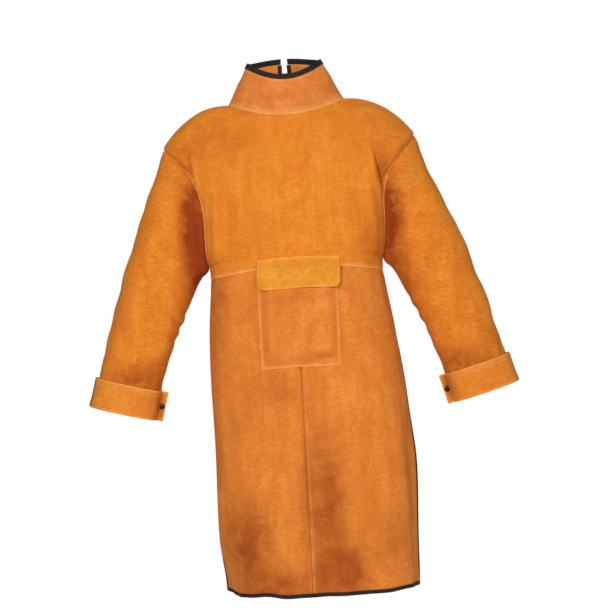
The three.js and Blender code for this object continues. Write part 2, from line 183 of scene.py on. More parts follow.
centreBack = throughRows([0, 1, 5, 10, 14], [
    [body["waistDepth"] / 2 - 0.004, backWaistZ],
    [body["waistDepth"] / 2 - 0.003, armpit[2] - 0.002],
    [body["chestDepth"] / 2, chestMidZ - 0.010],
    [body["chestDepth"] / 2 - 0.014, tip[2] - 0.014],
    [neck["depth"] / 2 - neck["forward"], neck["lift"]],
])


# q is 0 at the shoulder tip and pi at the armpit, positive at the front
def armhole(q):
    across, deep = rounded(q, 2.2)
    scoop = np.where(np.sin(q) >= 0, body["scoopFront"], body["scoopBack"]) * np.abs(np.sin(q))**3
    p = armholeMiddle + deep[..., None] * armholeUp
    p[..., 0] -= scoop * (1 + 0.6 * np.cos(q))
    p[..., 1] -= across * body["armholeWidth"] / 2
    return p


def sideLine(row, front):
    waist = np.array([body["waistWidth"] / 2, 0, sideWaistZ])
    low = mix(waist, armpit, (row / armpitRow)[..., None])
    q = pi * (1 - np.clip((row - armpitRow) / (tipRow - armpitRow), 0, 1))
    middle = armhole(np.where(front, q, -q))
    share = np.clip((row - tipRow) / (neckRow - tipRow), 0, 1)
    high = mix(tip, neckPoint, share[..., None])
    high[..., 2] = mix(tip[2], neckPoint[2], 1 - (1 - share) ** 2.4)
    row = row[..., None]
    return np.where(row < armpitRow, low, np.where(row < tipRow, middle, high))


# turn is 0 at the centre front and +-pi at the centre back, positive to the wearer's left
def bodice(turn, row):
    turn, row = np.broadcast_arrays(np.asarray(turn, float), np.asarray(row, float))
    turn = np.arctan2(np.sin(turn), np.cos(turn))
    front = np.abs(turn) <= pi / 2
    q = np.where(front, np.abs(turn), pi - np.abs(turn))
    middle = np.where(front[..., None], centreFront(row), centreBack(row))
    side = sideLine(row, front)
    across, deep = rounded(q, mix(2.4, 1.9, ease(row / tipRow)))
    return points(np.sign(turn) * side[..., 0] * across, mix(side[..., 1], middle[..., 0], deep),
                  mix(side[..., 2], middle[..., 1], np.cos(q) ** 2))


def skirtRing(turn, drop):
    across, deep = rounded(turn, 2.4)
    halfWidth = mix(body["waistWidth"], body["hemWidth"], 1 - (1 - drop) ** 3) / 2
    halfDepth = mix(body["waistDepth"], body["hemDepth"], drop * drop) / 2
    waistZ = mix(np.where(np.cos(turn) > 0, frontWaistZ, backWaistZ), sideWaistZ, np.sin(turn) ** 2)
    settle = ease(drop / 0.6)
    x, y = across * halfWidth, -deep * halfDepth
    c, s = np.cos(body["skirtTurn"] * settle), np.sin(body["skirtTurn"] * settle)
    turned = x * c - y * s + body["skirtShift"] * settle
    return points(turned, x * s + y * c, mix(waistZ, -body["hem"], drop))


skirtAt = walked(skirtRing)
skirtDepth = body["hem"] + frontWaistZ


def collarAt(turn, rise):
    turn, rise = np.broadcast_arrays(np.asarray(turn, float), np.asarray(rise, float))
    turn = np.arctan2(np.sin(turn), np.cos(turn))
    front = np.abs(turn) <= pi / 2
    q = np.where(front, np.abs(turn), pi - np.abs(turn))
    topFront = [-neck["depth"] / 2 - neck["forward"] + 0.018, neck["height"] - neck["frontDrop"]]
    topBack = [neck["depth"] / 2 - neck["forward"] - 0.008, neck["height"] + 0.004 + neck["backLift"]]
    middle = np.where(front[..., None], topFront, topBack)
    across, deep = rounded(q, 2.1)
    top = points(np.sign(turn) * neck["topWidth"] / 2 * across,
                 mix(-neck["forward"] + 0.003, middle[..., 0], deep),
                 mix(neck["height"] + 0.004, middle[..., 1], np.cos(q) ** 2))
    return mix(bodice(turn, np.full(turn.shape, float(neckRow))), top, rise[..., None])


# base(u, v) is a smooth surface and relief(u, v, p) how far its folds stand off it; out is -1 where the
# surface would face inwards
def surface(base, relief=None, out=1, mirror=1):
    def place(u, v, lift=0.0):
        u, v = np.broadcast_arrays(np.asarray(u, float), np.asarray(v, float))
        p = base(u, v) * [mirror, 1, 1]
        normal = normals(base, u, v) * out * [mirror, 1, 1]
        height = lift + (relief(u, v, p) if relief else 0)
        return p + normal * np.broadcast_to(height, u.shape)[..., None]

    place.out = out * mirror
    return place


def normals(place, u, v, step=1e-3):
    alongU = place(u + step, v) - place(u - step, v)
    alongV = place(u, v + step) - place(u, v - step)
    return unit(np.cross(alongU, alongV)) * getattr(place, "out", 1)


# a line on a surface, through shares us and vs, in even steps: places, directions, normals and sideways
def trace(place, us, vs, step, lift=0.0):
    t = np.linspace(0, 1, 300)
    s = np.linspace(0, 1, len(us))
    p = place(np.interp(t, s, us), np.interp(t, s, vs))
    length = np.concatenate([[0], np.cumsum(np.linalg.norm(np.diff(p, axis=0), axis=1))])
    count = max(3, int(round(length[-1] / step)))
    even = np.interp(np.linspace(0, length[-1], count + 1), length, t)
    u, v = np.interp(even, s, us), np.interp(even, s, vs)
    p, normal = place(u, v), normals(place, u, v)
    direction = unit(np.gradient(p, axis=0))
    return p + normal * lift, direction, normal, unit(np.cross(normal, direction))


def newPiece(name, bm, materials):
    mesh = bpy.data.meshes.new(name)
    bm.to_mesh(mesh)
    bm.free()
    mesh.shade_smooth()
    piece = bpy.data.objects.new(name, mesh)
    bpy.context.scene.collection.objects.link(piece)
    for material in materials:
        mesh.materials.append(material)
    return piece


# a grid whose corners go where place(u, v) says; worn(u, v) is 1 on worn edges, and softened(u, v) is true
# where the grid is smoothed
def gridPiece(name, place, cells, materials, worn=None, closed=False, softened=None):
    bm = bmesh.new()
    bm.loops.layers.uv.new("UVMap")
    wornLayer = bm.verts.layers.float.new("worn")
    bmesh.ops.create_grid(bm, x_segments=cells[0], y_segments=cells[1], size=0.5, calc_uvs=True)
    flat = np.array([v.co for v in bm.verts]) + 0.5
    shares = worn(flat[:, 0], flat[:, 1]) if worn else np.zeros(len(flat))
    for vert, at, share in zip(bm.verts, place(flat[:, 0], flat[:, 1]), shares):
        vert.co = at
        vert[wornLayer] = share
    if softened:
        near = softened(flat[:, 0], flat[:, 1])
        inner = [v for v, soft in zip(bm.verts, near) if soft and not v.is_boundary]
        for _ in range(24):
            bmesh.ops.smooth_vert(bm, verts=inner, factor=0.5, use_axis_x=True, use_axis_y=True,
                                  use_axis_z=True)
    if closed:
        bmesh.ops.remove_doubles(bm, verts=bm.verts, dist=2e-5)
    if getattr(place, "out", 1) < 0:
        bmesh.ops.reverse_faces(bm, faces=bm.faces)
    return newPiece(name, bm, materials)


def applied(piece):
    bpy.context.view_layer.update()
    graph = bpy.context.evaluated_depsgraph_get()
    mesh = bpy.data.meshes.new_from_object(piece.evaluated_get(graph))
    piece.modifiers.clear()
    old, piece.data = piece.data, mesh
    bpy.data.meshes.remove(old)
    return piece


# gives a sheet its thickness, with its cut edges in the material at place rim and slightly rounded
def walled(piece, thickness=leather, rim=0, rounding=0.0):
    solid = piece.modifiers.new("wall", "SOLIDIFY")
    solid.thickness, solid.offset, solid.use_even_offset = thickness, 0, False
    solid.material_offset_rim = rim
    if rounding:
        bevel = piece.modifiers.new("rounding", "BEVEL")
        bevel.width, bevel.segments = rounding, 2
        bevel.limit_method, bevel.angle_limit = "ANGLE", math.radians(50)
    return applied(piece)


bead = {"step": 0.003, "wide": 0.0016, "high": 0.0013, "thin": 0.0012, "low": 0.0010}


def seamLine(place, us, vs, lift=0.0003):
    return trace(place, us, vs, bead["step"], lift)


# a raised edge of an oval section along traced lines
def beadPiece(name, lines, halfWidth, halfHeight, materials, sides=8):
    bm = bmesh.new()
    for p, direction, normal, sideways in lines:
        count = len(p) - 1
        made = bmesh.ops.create_grid(bm, x_segments=count, y_segments=sides, size=0.5)["verts"]
        flat = np.array([v.co for v in made]) + 0.5
        i = np.round(flat[:, 0] * count).astype(int)
        turn = 2 * pi * flat[:, 1]
        close = np.minimum(1, 0.35 + np.minimum(i, count - i) * 0.65)
        vary = 1 + 0.16 * roughAt(p[i], (150, 150, 150), 3.3)
        at = (p[i] + sideways[i] * (halfWidth * close * vary * np.cos(turn))[:, None]
              + normal[i] * (halfHeight * close * vary * np.sin(turn))[:, None])
        for vert, q in zip(made, at):
            vert.co = q
    bmesh.ops.remove_doubles(bm, verts=bm.verts, dist=1e-6)
    bmesh.ops.holes_fill(bm, edges=[e for e in bm.edges if e.is_boundary], sides=0)
    bmesh.ops.recalc_face_normals(bm, faces=bm.faces)
    return newPiece(name, bm, materials)


stitch = {"length": 0.0036, "pitch": 0.0054, "radius": 0.00048, "lift": 0.0009, "overTape": 0.0027}


def stitchRow(place, us, vs, lift=stitch["lift"]):
    return trace(place, us, vs, stitch["pitch"], lift)


# rows of small stitches, each a rounded grain of thread lying on the leather
def stitchPiece(name, rows, size=1.0, material=None):
    bm = bmesh.new()
    radius = stitch["radius"] * size
    grain = Matrix.Diagonal((stitch["length"] / 2, radius * 1.3, radius, 1))
    for p, direction, normal, sideways in rows:
        for at, d, n in zip((p[1:] + p[:-1]) / 2, unit(p[1:] - p[:-1]), normal):
            side = np.cross(n, d)
            turn = Matrix((d, side, np.cross(d, side))).transposed().to_4x4()
            spot = Matrix.Translation(Vector(at)) @ turn @ grain
            bmesh.ops.create_icosphere(bm, subdivisions=1, radius=1, matrix=spot)
    return newPiece(name, bm, [material or thread])


# tape folded over an edge, standing for a CAD node: edge(s) gives the edge's u and v, and into is the
# change of u and v for a metre inwards
tapeLook = {"reach": 0.0078, "stand": 0.0019, "thick": 0.0011, "bend": 5, "wave": 0.05, "cell": 0.0045}


def tapePiece(name, node, place, edge, into, length, wider=0.0):
    reach, stand, bend = tapeLook["reach"] + wider, tapeLook["stand"], tapeLook["bend"]
    leg = [(reach * share, stand) for share in (1, 0.7, 0.35, 0)]
    nose = [(-stand * math.sin(pi * k / bend), stand * math.cos(pi * k / bend)) for k in range(1, bend)]
    profile = np.array(leg + nose + [(r, -s) for r, s in reversed(leg)])

    def folded(s, t):
        k = np.round(t * (len(profile) - 1)).astype(int)
        inward, height = profile[k, 0], profile[k, 1]
        u, v = edge(s)
        deep = np.maximum(inward, 0)
        at = place(u + into[0] * deep, v + into[1] * deep)
        inwards = unit(place(u + into[0] * 1e-3, v + into[1] * 1e-3) - place(u, v))
        stands = height * (1 + tapeLook["wave"] * roughAt(at, (120, 120, 120), 8.1))
        past = np.minimum(inward, 0)
        return at + normals(place, u, v) * stands[..., None] + inwards * past[..., None]

    cells = (max(12, int(length / tapeLook["cell"])), len(profile) - 1)
    piece = walled(gridPiece(name, folded, cells, [blackTape]), tapeLook["thick"])
    return kept(piece, "coat", "tape", node)


def nodeIn(tree, kind, place, **settings):
    node = tree.nodes.new(kind)
    node.location = place
    for name, value in settings.items():
        setattr(node, name, value)
    return node


# value mapped between the ends that are named
def mapped(tree, value, place, ends, **settings):
    node = nodeIn(tree, "ShaderNodeMapRange", place, **settings)
    for name, end in ends.items():
        node.inputs[name].default_value = end
    tree.links.new(value, node.inputs["Value"])
    return node.outputs["Result"]


def colour(red, green, blue):
    return tuple(((c / 255 + 0.055) / 1.055) ** 2.4 for c in (red, green, blue)) + (1,)


def ramp(tree, place, stops):
    node = nodeIn(tree, "ShaderNodeValToRGB", place)
    band = node.color_ramp
    band.elements[0].position, band.elements[0].color = stops[0]
    band.elements[1].position, band.elements[1].color = stops[-1]
    for position, shade in stops[1:-1]:
        band.elements.new(position).color = shade
    return node


# bumps of a material, distance high
def raised(tree, height, place, distance):
    relief = nodeIn(tree, "ShaderNodeBump", place)
    relief.inputs["Strength"].default_value = 0.6
    relief.inputs["Distance"].default_value = distance
    tree.links.new(height, relief.inputs["Height"])
    tree.links.new(relief.outputs["Normal"], tree.nodes["Principled BSDF"].inputs["Normal"])


# napped hide: masks for broad patches, mottling, drawn streaks and nap, and the height of the nap
def napGroup():
    group = bpy.data.node_groups.new("suedeNap", "ShaderNodeTree")
    for name in ["Vector", "Streaks"]:
        group.interface.new_socket(name=name, in_out="INPUT", socket_type="NodeSocketVector")
    for name in ["Mottle", "Patch", "Streak", "Nap", "Height"]:
        group.interface.new_socket(name=name, in_out="OUTPUT", socket_type="NodeSocketFloat")
    start = nodeIn(group, "NodeGroupInput", (-900, 0))
    end = nodeIn(group, "NodeGroupOutput", (500, 0))
    link = group.links.new

    def cloud(y, scale, detail, roughness, distortion, vector):
        node = nodeIn(group, "ShaderNodeTexNoise", (-500, y))
        for name, value in [("Scale", scale), ("Detail", detail), ("Roughness", roughness),
                            ("Distortion", distortion)]:
            node.inputs[name].default_value = value
        link(vector, node.inputs["Vector"])
        return node.outputs["Fac"]

    def spread(value, low, high, y, name):
        link(mapped(group, value, (-250, y), {"From Min": low, "From Max": high}), end.inputs[name])

    place = start.outputs["Vector"]
    stretch = nodeIn(group, "ShaderNodeVectorMath", (-700, -500), operation="MULTIPLY")
    link(place, stretch.inputs[0])
    link(start.outputs["Streaks"], stretch.inputs[1])
    combed = nodeIn(group, "ShaderNodeVectorMath", (-700, -700), operation="MULTIPLY")
    link(place, combed.inputs[0])
    combed.inputs[1].default_value = (0.55, 0.55, 1.5)
    nap = cloud(-420, 540, 6, 0.75, 0.4, place)
    grain = cloud(-660, 190, 5, 0.68, 0.6, combed.outputs[0])
    spread(cloud(300, 30, 7, 0.68, 0.5, place), 0.34, 0.68, 300, "Mottle")
    spread(cloud(60, 5.2, 5, 0.62, 1.0, place), 0.46, 0.70, 60, "Patch")
    spread(cloud(-180, 1, 6, 0.62, 0.3, stretch.outputs[0]), 0.38, 0.66, -180, "Streak")
    spread(grain, 0.38, 0.66, -420, "Nap")
    joined = nodeIn(group, "ShaderNodeMix", (100, -500), data_type="FLOAT")
    joined.inputs["Factor"].default_value = 0.5
    link(nap, joined.inputs["A"])
    link(grain, joined.inputs["B"])
    link(joined.outputs["Result"], end.inputs["Height"])
    return group


suedeNap = napGroup()
suedeLook = {
    "worn": (242, 172, 86),
    "wornShare": 0.8,
    "streak": 0.5,
    "patch": 0.55,
    "nap": 0.38,
    "sheen": (255, 190, 120),
    "sockets": {
        "Roughness": 0.93,
        "Specular IOR Level": 0.15,
        "Sheen Weight": 0.06,
        "Sheen Roughness": 0.5,
    },
}


# tones: light, middle, deep and dark; then patches of the dark tone painted in, as painted shade in folds
# and beside parts or as darker patches, each a place, its reach on each axis and its strength
def suede(name, tones, streaks=(38, 38, 5), shadeAndPatches=()):
    material = bpy.data.materials.new(name)
    material.use_nodes = True
    tree = material.node_tree
    link = tree.links.new
    shader = tree.nodes["Principled BSDF"]
    place = nodeIn(tree, "ShaderNodeTexCoord", (-1700, 0))
    nap = nodeIn(tree, "ShaderNodeGroup", (-1450, 0), node_tree=suedeNap)
    link(place.outputs["Object"], nap.inputs["Vector"])
    nap.inputs["Streaks"].default_value = streaks

    def times(a, b, x, y):
        node = nodeIn(tree, "ShaderNodeMath", (x, y), operation="MULTIPLY")
        link(a, node.inputs[0])
        if isinstance(b, float):
            node.inputs[1].default_value = b
        else:
            link(b, node.inputs[1])
        return node.outputs[0]

    def over(a, shade, factor, x):
        node = nodeIn(tree, "ShaderNodeMix", (x, 200), data_type="RGBA")
        link(factor, node.inputs["Factor"])
        if isinstance(a, tuple):
            node.inputs["A"].default_value = a
        else:
            link(a, node.inputs["A"])
        node.inputs["B"].default_value = shade
        return node.outputs["Result"]

    # how far it is from a place, in shares of the reach on each axis
    def distance(at, reach, y):
        vector = place.outputs["Object"]
        for x, operation, value in [(-1450, "SUBTRACT", at), (-1300, "DIVIDE", reach)]:
            step = nodeIn(tree, "ShaderNodeVectorMath", (x, y), operation=operation)
            link(vector, step.inputs[0])
            step.inputs[1].default_value = value
            vector = step.outputs[0]
        size = nodeIn(tree, "ShaderNodeVectorMath", (-1150, y), operation="LENGTH")
        link(vector, size.inputs[0])
        return size.outputs["Value"]

    light, middle, deep, dark = [colour(*tone) for tone in tones]
    tint = over(light, middle, nap.outputs["Mottle"], -1000)
    tint = over(tint, deep, times(nap.outputs["Streak"], suedeLook["streak"], -900, -100), -800)
    tint = over(tint, deep, times(nap.outputs["Patch"], suedeLook["patch"], -700, -100), -600)
    # the dark tone painted in around each place: painted shade, or a darker patch
    for k, (at, reach, strength) in enumerate(shadeAndPatches):
        y = -400 - 200 * k
        inside = mapped(tree, distance(at, reach, y), (-1000, y), {"From Min": 1.15, "From Max": 0.1},
                        interpolation_type="SMOOTHSTEP")
        blotch = mapped(tree, nap.outputs["Mottle"], (-1000, y - 100),
                        {"To Min": 0.45 * strength, "To Max": strength})
        tint = over(tint, dark, times(inside, blotch, -850, y), -550 + 60 * k)
    tint = over(tint, dark, times(nap.outputs["Nap"], suedeLook["nap"], -300, -100), -200)
    edge = nodeIn(tree, "ShaderNodeAttribute", (-1450, 400), attribute_name="worn")
    fleck = mapped(tree, nap.outputs["Mottle"], (-1200, 600),
                   {"To Min": suedeLook["wornShare"], "To Max": 0.4 * suedeLook["wornShare"]})
    tint = over(tint, colour(*suedeLook["worn"]), times(edge.outputs["Fac"], fleck, -1000, 450), 0)
    link(tint, shader.inputs["Base Color"])
    raised(tree, nap.outputs["Height"], (0, -300), 0.0012)
    for socket, value in suedeLook["sockets"].items():
        shader.inputs[socket].default_value = value
    shader.inputs["Sheen Tint"].default_value = colour(*suedeLook["sheen"])
    return material


# a plain material whose colour and roughness vary a little between stops
def varied(name, scale, colours, gloss, metallic=0.0, weave=0.0, specular=0.5):
    material = bpy.data.materials.new(name)
    material.use_nodes = True
    tree = material.node_tree
    shader = tree.nodes["Principled BSDF"]
    place = nodeIn(tree, "ShaderNodeTexCoord", (-900, 0))
    vary = nodeIn(tree, "ShaderNodeTexNoise", (-650, 0))
    vary.inputs["Scale"].default_value = scale
    vary.inputs["Detail"].default_value = 6
    tree.links.new(place.outputs["Object"], vary.inputs["Vector"])
    tint = ramp(tree, (-400, 0), [(0.34, colour(*colours[0])), (0.7, colour(*colours[1]))])
    shine = ramp(tree, (-400, -250), [(0.3, (gloss[0],) * 3 + (1,)), (0.75, (gloss[1],) * 3 + (1,))])
    for node, socket in [(tint, "Base Color"), (shine, "Roughness")]:
        tree.links.new(vary.outputs["Fac"], node.inputs[0])
        tree.links.new(node.outputs["Color"], shader.inputs[socket])
    if weave:
        cells = nodeIn(tree, "ShaderNodeTexVoronoi", (-650, -500))
        cells.inputs["Scale"].default_value = weave
        tree.links.new(place.outputs["Object"], cells.inputs["Vector"])
        raised(tree, cells.outputs["Distance"], (-200, -500), 0.0004)
    shader.inputs["Metallic"].default_value = metallic
    shader.inputs["Specular IOR Level"].default_value = specular
    return material


tones = {
    "chest": [(240, 150, 50), (228, 134, 38), (208, 110, 26), (178, 86, 22)],
    "skirt": [(238, 148, 62), (226, 130, 46), (203, 106, 34), (164, 76, 26)],
    # the sleeve's dark tone is deepened to the colour of the shade beside the chest, which is painted in
    # below; the nap uses it too
    "sleeve": [(240, 150, 50), (230, 132, 38), (206, 106, 27), (148, 59, 16)],
    "cuff": [(243, 157, 60), (236, 142, 47), (214, 116, 35), (162, 72, 22)],
    "collar": [(238, 148, 74), (226, 130, 56), (206, 110, 42), (176, 86, 30)],
    "pocket": [(238, 148, 66), (226, 130, 48), (208, 110, 36), (172, 82, 26)],
    "flap": [(238, 163, 56), (230, 148, 42), (212, 126, 32), (182, 98, 25)],
    "edge": [(250, 190, 108), (242, 172, 88), (228, 150, 66), (204, 120, 46)],
}
# chest: painted shade in a broad band over each upper shoulder, in the two shoulder creases and beside the
# wearer's left armhole
chestHide = suede("suedeChest", tones["chest"], shadeAndPatches=[
    ((-0.15, -0.06, -0.09), (0.12, 0.20, 0.06), 0.5),
    ((-0.228, -0.06, -0.14), (0.025, 0.20, 0.07), 0.7),
    ((0.17, -0.06, -0.10), (0.13, 0.20, 0.06), 0.2),
    ((0.197, -0.06, -0.165), (0.022, 0.20, 0.065), 1.3),
    ((0.175, -0.08, -0.30), (0.045, 0.10, 0.13), 0.7),
])
skirtHide = suede("suedeSkirt", tones["skirt"], shadeAndPatches=[
    ((0.030, -0.13, -0.88), (0.070, 0.10, 0.22), 1.1),
    ((0.060, -0.13, -1.02), (0.090, 0.10, 0.09), 1.3),
    ((-0.155, -0.12, -0.95), (0.085, 0.10, 0.13), 1.6),
    ((-0.10, -0.13, -1.05), (0.15, 0.10, 0.07), 1.1),
    ((0.17, -0.10, -0.97), (0.05, 0.10, 0.10), 0.5),
    ((-0.175, -0.08, -0.43), (0.038, 0.10, 0.12), 0.65),
    ((-0.05, -0.13, -0.62), (0.05, 0.10, 0.06), 0.5),
])
finMiddles = [np.mean(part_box(f"cuff_{name}_snap_cap"), axis=0) for name in ("left", "right")]
# sleeves: painted shade on each sleeve's inner side beside the chest, deepest on the wearer's right, and
# darker bands just above the cuffs
sleeveHide = suede("suedeSleeve", tones["sleeve"], streaks=(30, 30, 9), shadeAndPatches=[
    ((-0.214, -0.08, -0.265), (0.044, 0.14, 0.15), 2.0),
    ((-0.212, -0.06, -0.385), (0.040, 0.14, 0.13), 1.6),
    ((0.208, -0.08, -0.28), (0.041, 0.12, 0.16), 1.7),
    ((0.225, -0.06, -0.41), (0.034, 0.12, 0.11), 0.7),
    ((-0.350, -0.06, -0.585), (0.09, 0.12, 0.05), 0.8),
    ((0.345, -0.06, -0.590), (0.09, 0.12, 0.05), 0.7),
])
# cuffs: painted shadow on each cuff's fin, which stands angled back
cuffHide = suede("suedeCuff", tones["cuff"], streaks=(30, 30, 9), shadeAndPatches=[
    (tuple(at), (0.018, 0.04, 0.05), 1.0) for at in finMiddles
])
# collar: painted shade along the crease across the front
collarHide = suede("suedeCollar", tones["collar"], streaks=(30, 30, 26), shadeAndPatches=[
    ((-0.02, -0.09, 0.01), (0.08, 0.05, 0.016), 0.5),
])
# pocket: a darker patch near its bottom, and painted shadow just under the flap's lower edge
pocketHide = suede("suedePocket", tones["pocket"], shadeAndPatches=[
    ((0.045, -0.13, -0.556), (0.03, 0.05, 0.012), 0.8),
    ((0.0, -0.13, -0.43), (0.09, 0.05, 0.02), 0.4),
])
flapHide = suede("suedeFlap", tones["flap"], streaks=(30, 30, 30))
cutEdge = suede("suedeCutEdge", tones["edge"])
blackTape = varied("blackTape", 60, [(20, 18, 17), (46, 39, 33)], (0.75, 0.9), weave=900, specular=0.3)
thread = varied("waxedThread", 220, [(226, 156, 76), (248, 200, 124)], (0.55, 0.7))
blackThread = varied("blackThread", 220, [(34, 31, 28), (66, 58, 50)], (0.5, 0.7))
snapMetal = varied("blackSnapMetal", 900, [(24, 22, 20), (66, 60, 54)], (0.28, 0.5), metallic=0.9)
print("materials made")


# what rides a body, standing for CAD nodes; slot is not used
def kept(piece, bodyName, slot, *nodes):
    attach(piece, bodyName)
    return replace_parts(piece, *nodes) if nodes else piece


# a leather piece with its wall, and cut edges in a lighter tone
def hidePiece(name, place, cells, hide, worn=None, thickness=leather, rounding=0.0, **more):
    piece = gridPiece(name, place, cells, [hide, cutEdge], worn, **more)
    return walled(piece, thickness, 1, rounding)


def sewn(name, rows, size=1.0, bodyName="coat"):
    return kept(stitchPiece(name, rows, size), bodyName, "suede")


def beaded(name, lines, hide, halfWidth=bead["thin"], halfHeight=bead["low"]):
    return kept(beadPiece(name, lines, halfWidth, halfHeight, [hide]), "coat", "suede")


# wear that fades over width from the named edges; span is the sheet's size across from each edge
def nearEdges(width, **spans):
    def worn(u, v):
        reach = {"u0": u, "u1": 1 - u, "v0": v, "v1": 1 - v}
        return np.max([np.exp(-((reach[e] * span / width) ** 2)) for e, span in spans.items()], axis=0)

    return worn


bodiceLook = {
    "lap": 0.09,  # rows that the bodice laps over the skirt
    "cells": (150, 120),
    "backCells": (80, 120),
    "wide": 0.56,
    "tall": 0.33,
    "edgeWear": 0.0035,
    "broad": 0.0034,
    "armFold": 0.0050,
    "lip": 0.0013,
    "leftCrease": ([0.182, -0.110], [0.200, -0.205], 0.0110),  # from the shoulder to the armhole
    "rightCrease": ([-0.224, -0.080], [-0.212, -0.185], 0.0050),
}
rowV = lambda row: (row + bodiceLook["lap"]) / (neckRow + bodiceLook["lap"])
vRow = lambda v: mix(-bodiceLook["lap"], neckRow, v)


def bodiceFolds(v, p):
    side = np.abs(p[..., 0]) / 0.19
    broad = bodiceLook["broad"] * roughAt(p, (5, 3, 6), 4.1) + 0.0012 * roughAt(p, (17, 8, 9), 9.7)
    ridge = bump(side, 0.93 - 0.12 * v, 0.05) - 0.8 * bump(side, 0.80 - 0.10 * v, 0.055)
    ridge += 0.45 * bump(side, 0.64 - 0.1 * v, 0.05)
    folds = bodiceLook["armFold"] * ridge * bump(v, 0.28, 0.22)
    yoke = 0.0020 * np.sin(22 * p[..., 2] + 16 * np.abs(p[..., 0])) * bump(v, 0.74, 0.12)
    calm = ease(v / 0.08) * (1 - ease((v - 0.84) / 0.16))
    calm *= 1 - bump(p[..., 0], 0, 0.12) * bump(v, 0, 0.14)
    pucker = 0.0005 * rough(p[..., 0], 0, 0, (95, 1, 1), 2.2) * np.exp(-v / 0.03)
    return (broad + folds + yoke) * calm + pucker


# a sharp crease from top to foot, each [x, z], steep on its inner side and falling away outwards
def creaseAt(p, edge, top, foot, depth):
    along = (top[1] - p[..., 2]) / (top[1] - foot[1])
    away = np.sign(top[0]) * (p[..., 0] - mix(top[0], foot[0], np.clip(along, 0, 1)))
    there = ease((along + 0.15) / 0.6) * (1 - ease((along - 1.0) / 0.3)) * ease((edge - 0.004) / 0.012)
    fall = np.where(away > 0, np.exp(-np.maximum(away, 0) / 0.016), np.exp(-((away / 0.0038) ** 2)))
    return depth * there * (0.4 * bump(away, -0.010, 0.007) - fall)


# the turned edge at the armhole, edge metres away, with a groove before it
def armholeLip(v, edge):
    there = ease((v - rowV(1)) / 0.04) * (1 - ease((v - rowV(8.6)) / 0.06))
    return there * (bodiceLook["lip"] * np.exp(-edge / 0.006) - 0.0016 * bump(edge, 0.011, 0.006))


def neckTuck(v):
    return -0.0012 * ease((v - 0.985) / 0.015)


def chestRelief(u, v, p):
    edge = np.minimum(u, 1 - u) * bodiceLook["wide"]
    creases = sum(creaseAt(p, edge, *bodiceLook[name]) for name in ("leftCrease", "rightCrease"))
    return bodiceFolds(v, p) + armholeLip(v, edge) + creases + neckTuck(v)


def aroundTip(v):
    return np.abs(v - rowV(tipRow)) < 0.09


chest = surface(lambda u, v: bodice(mix(-pi / 2, pi / 2, u), vRow(v)), chestRelief)
wide, tall = bodiceLook["wide"], bodiceLook["tall"]
worn = nearEdges(bodiceLook["edgeWear"], v0=tall, u0=wide, u1=wide)
piece = hidePiece("chestFront", chest, bodiceLook["cells"], chestHide, worn,
                  softened=lambda u, v: aroundTip(v) & (np.minimum(u, 1 - u) < 0.24))
chestPiece = kept(piece, "coat", "suede", "chest_front")


def backBase(u, v):
    at = bodice(np.maximum(mix(pi / 2, pi - 1e-4, u), pi / 2 + 1e-4), vRow(v))
    at[..., 0] += body["backGap"] / 2 * ease((u - 0.5) * 2)
    return at


def backRelief(u, v, p):
    calm = 1 - ease((u - 0.26) / 0.36)
    return bodiceFolds(v, p) * calm + armholeLip(v, u * bodiceLook["wide"] / 2) + neckTuck(v)


backs, backPieces = {}, {}
worn = nearEdges(bodiceLook["edgeWear"], u0=wide / 2, v0=tall)
for name, side in [("left", 1), ("right", -1)]:
    back = surface(backBase, backRelief, mirror=side)
    backs[name] = back
    piece = hidePiece(f"back_{name}", back, bodiceLook["backCells"], chestHide, worn,
                      softened=lambda u, v: aroundTip(v) & (u < 0.4))
    backPieces[name] = kept(piece, "coat", "suede", f"back_{name}")
    tapePiece(f"backEdgeTape_{name}", f"back_edge_binding_{name}", back,
              lambda s: (np.ones_like(s), mix(rowV(0.1), 0.997, s)), (-4.3, 0), 0.42)
    tapePiece(f"backHemTape_{name}", f"back_hem_binding_{name}", back,
              lambda s: (mix(0.34, 0.975, s), np.zeros_like(s)), (0, 3.0), 0.15)
print("bodice made")

skirtLook = {
    "cells": (110, 190),
    "under": 0.008,  # length that goes up behind the bodice
    "wave": 0.0075,
    "ripple": 0.0022,
    "crease": 0.0062,
    "curl": 0.024,  # the lower right corner curls in behind
    "hemWave": 0.0032,
    "swing": 0.009,  # the left back edge swings out low down
    "valley": 0.011,  # and the leather before it falls in
}
dropV = lambda drop: (drop * skirtDepth + skirtLook["under"]) / (skirtDepth + skirtLook["under"])
vDrop = lambda v: mix(-skirtLook["under"] / skirtDepth, 1, v)
skirtHalf = body["skirtCut"] / 2


def fromCentre(u):
    return skirtHalf * np.sign(u) * np.abs(u) ** 1.15  # closer cells by the centre seam


def skirtPlace(run, v):
    wave = skirtLook["hemWave"] / skirtDepth * rough(run, 0, 0, (22, 1, 1), 4.4)
    return skirtAt(run, vDrop(v) + wave * ease((v - 0.93) / 0.07))


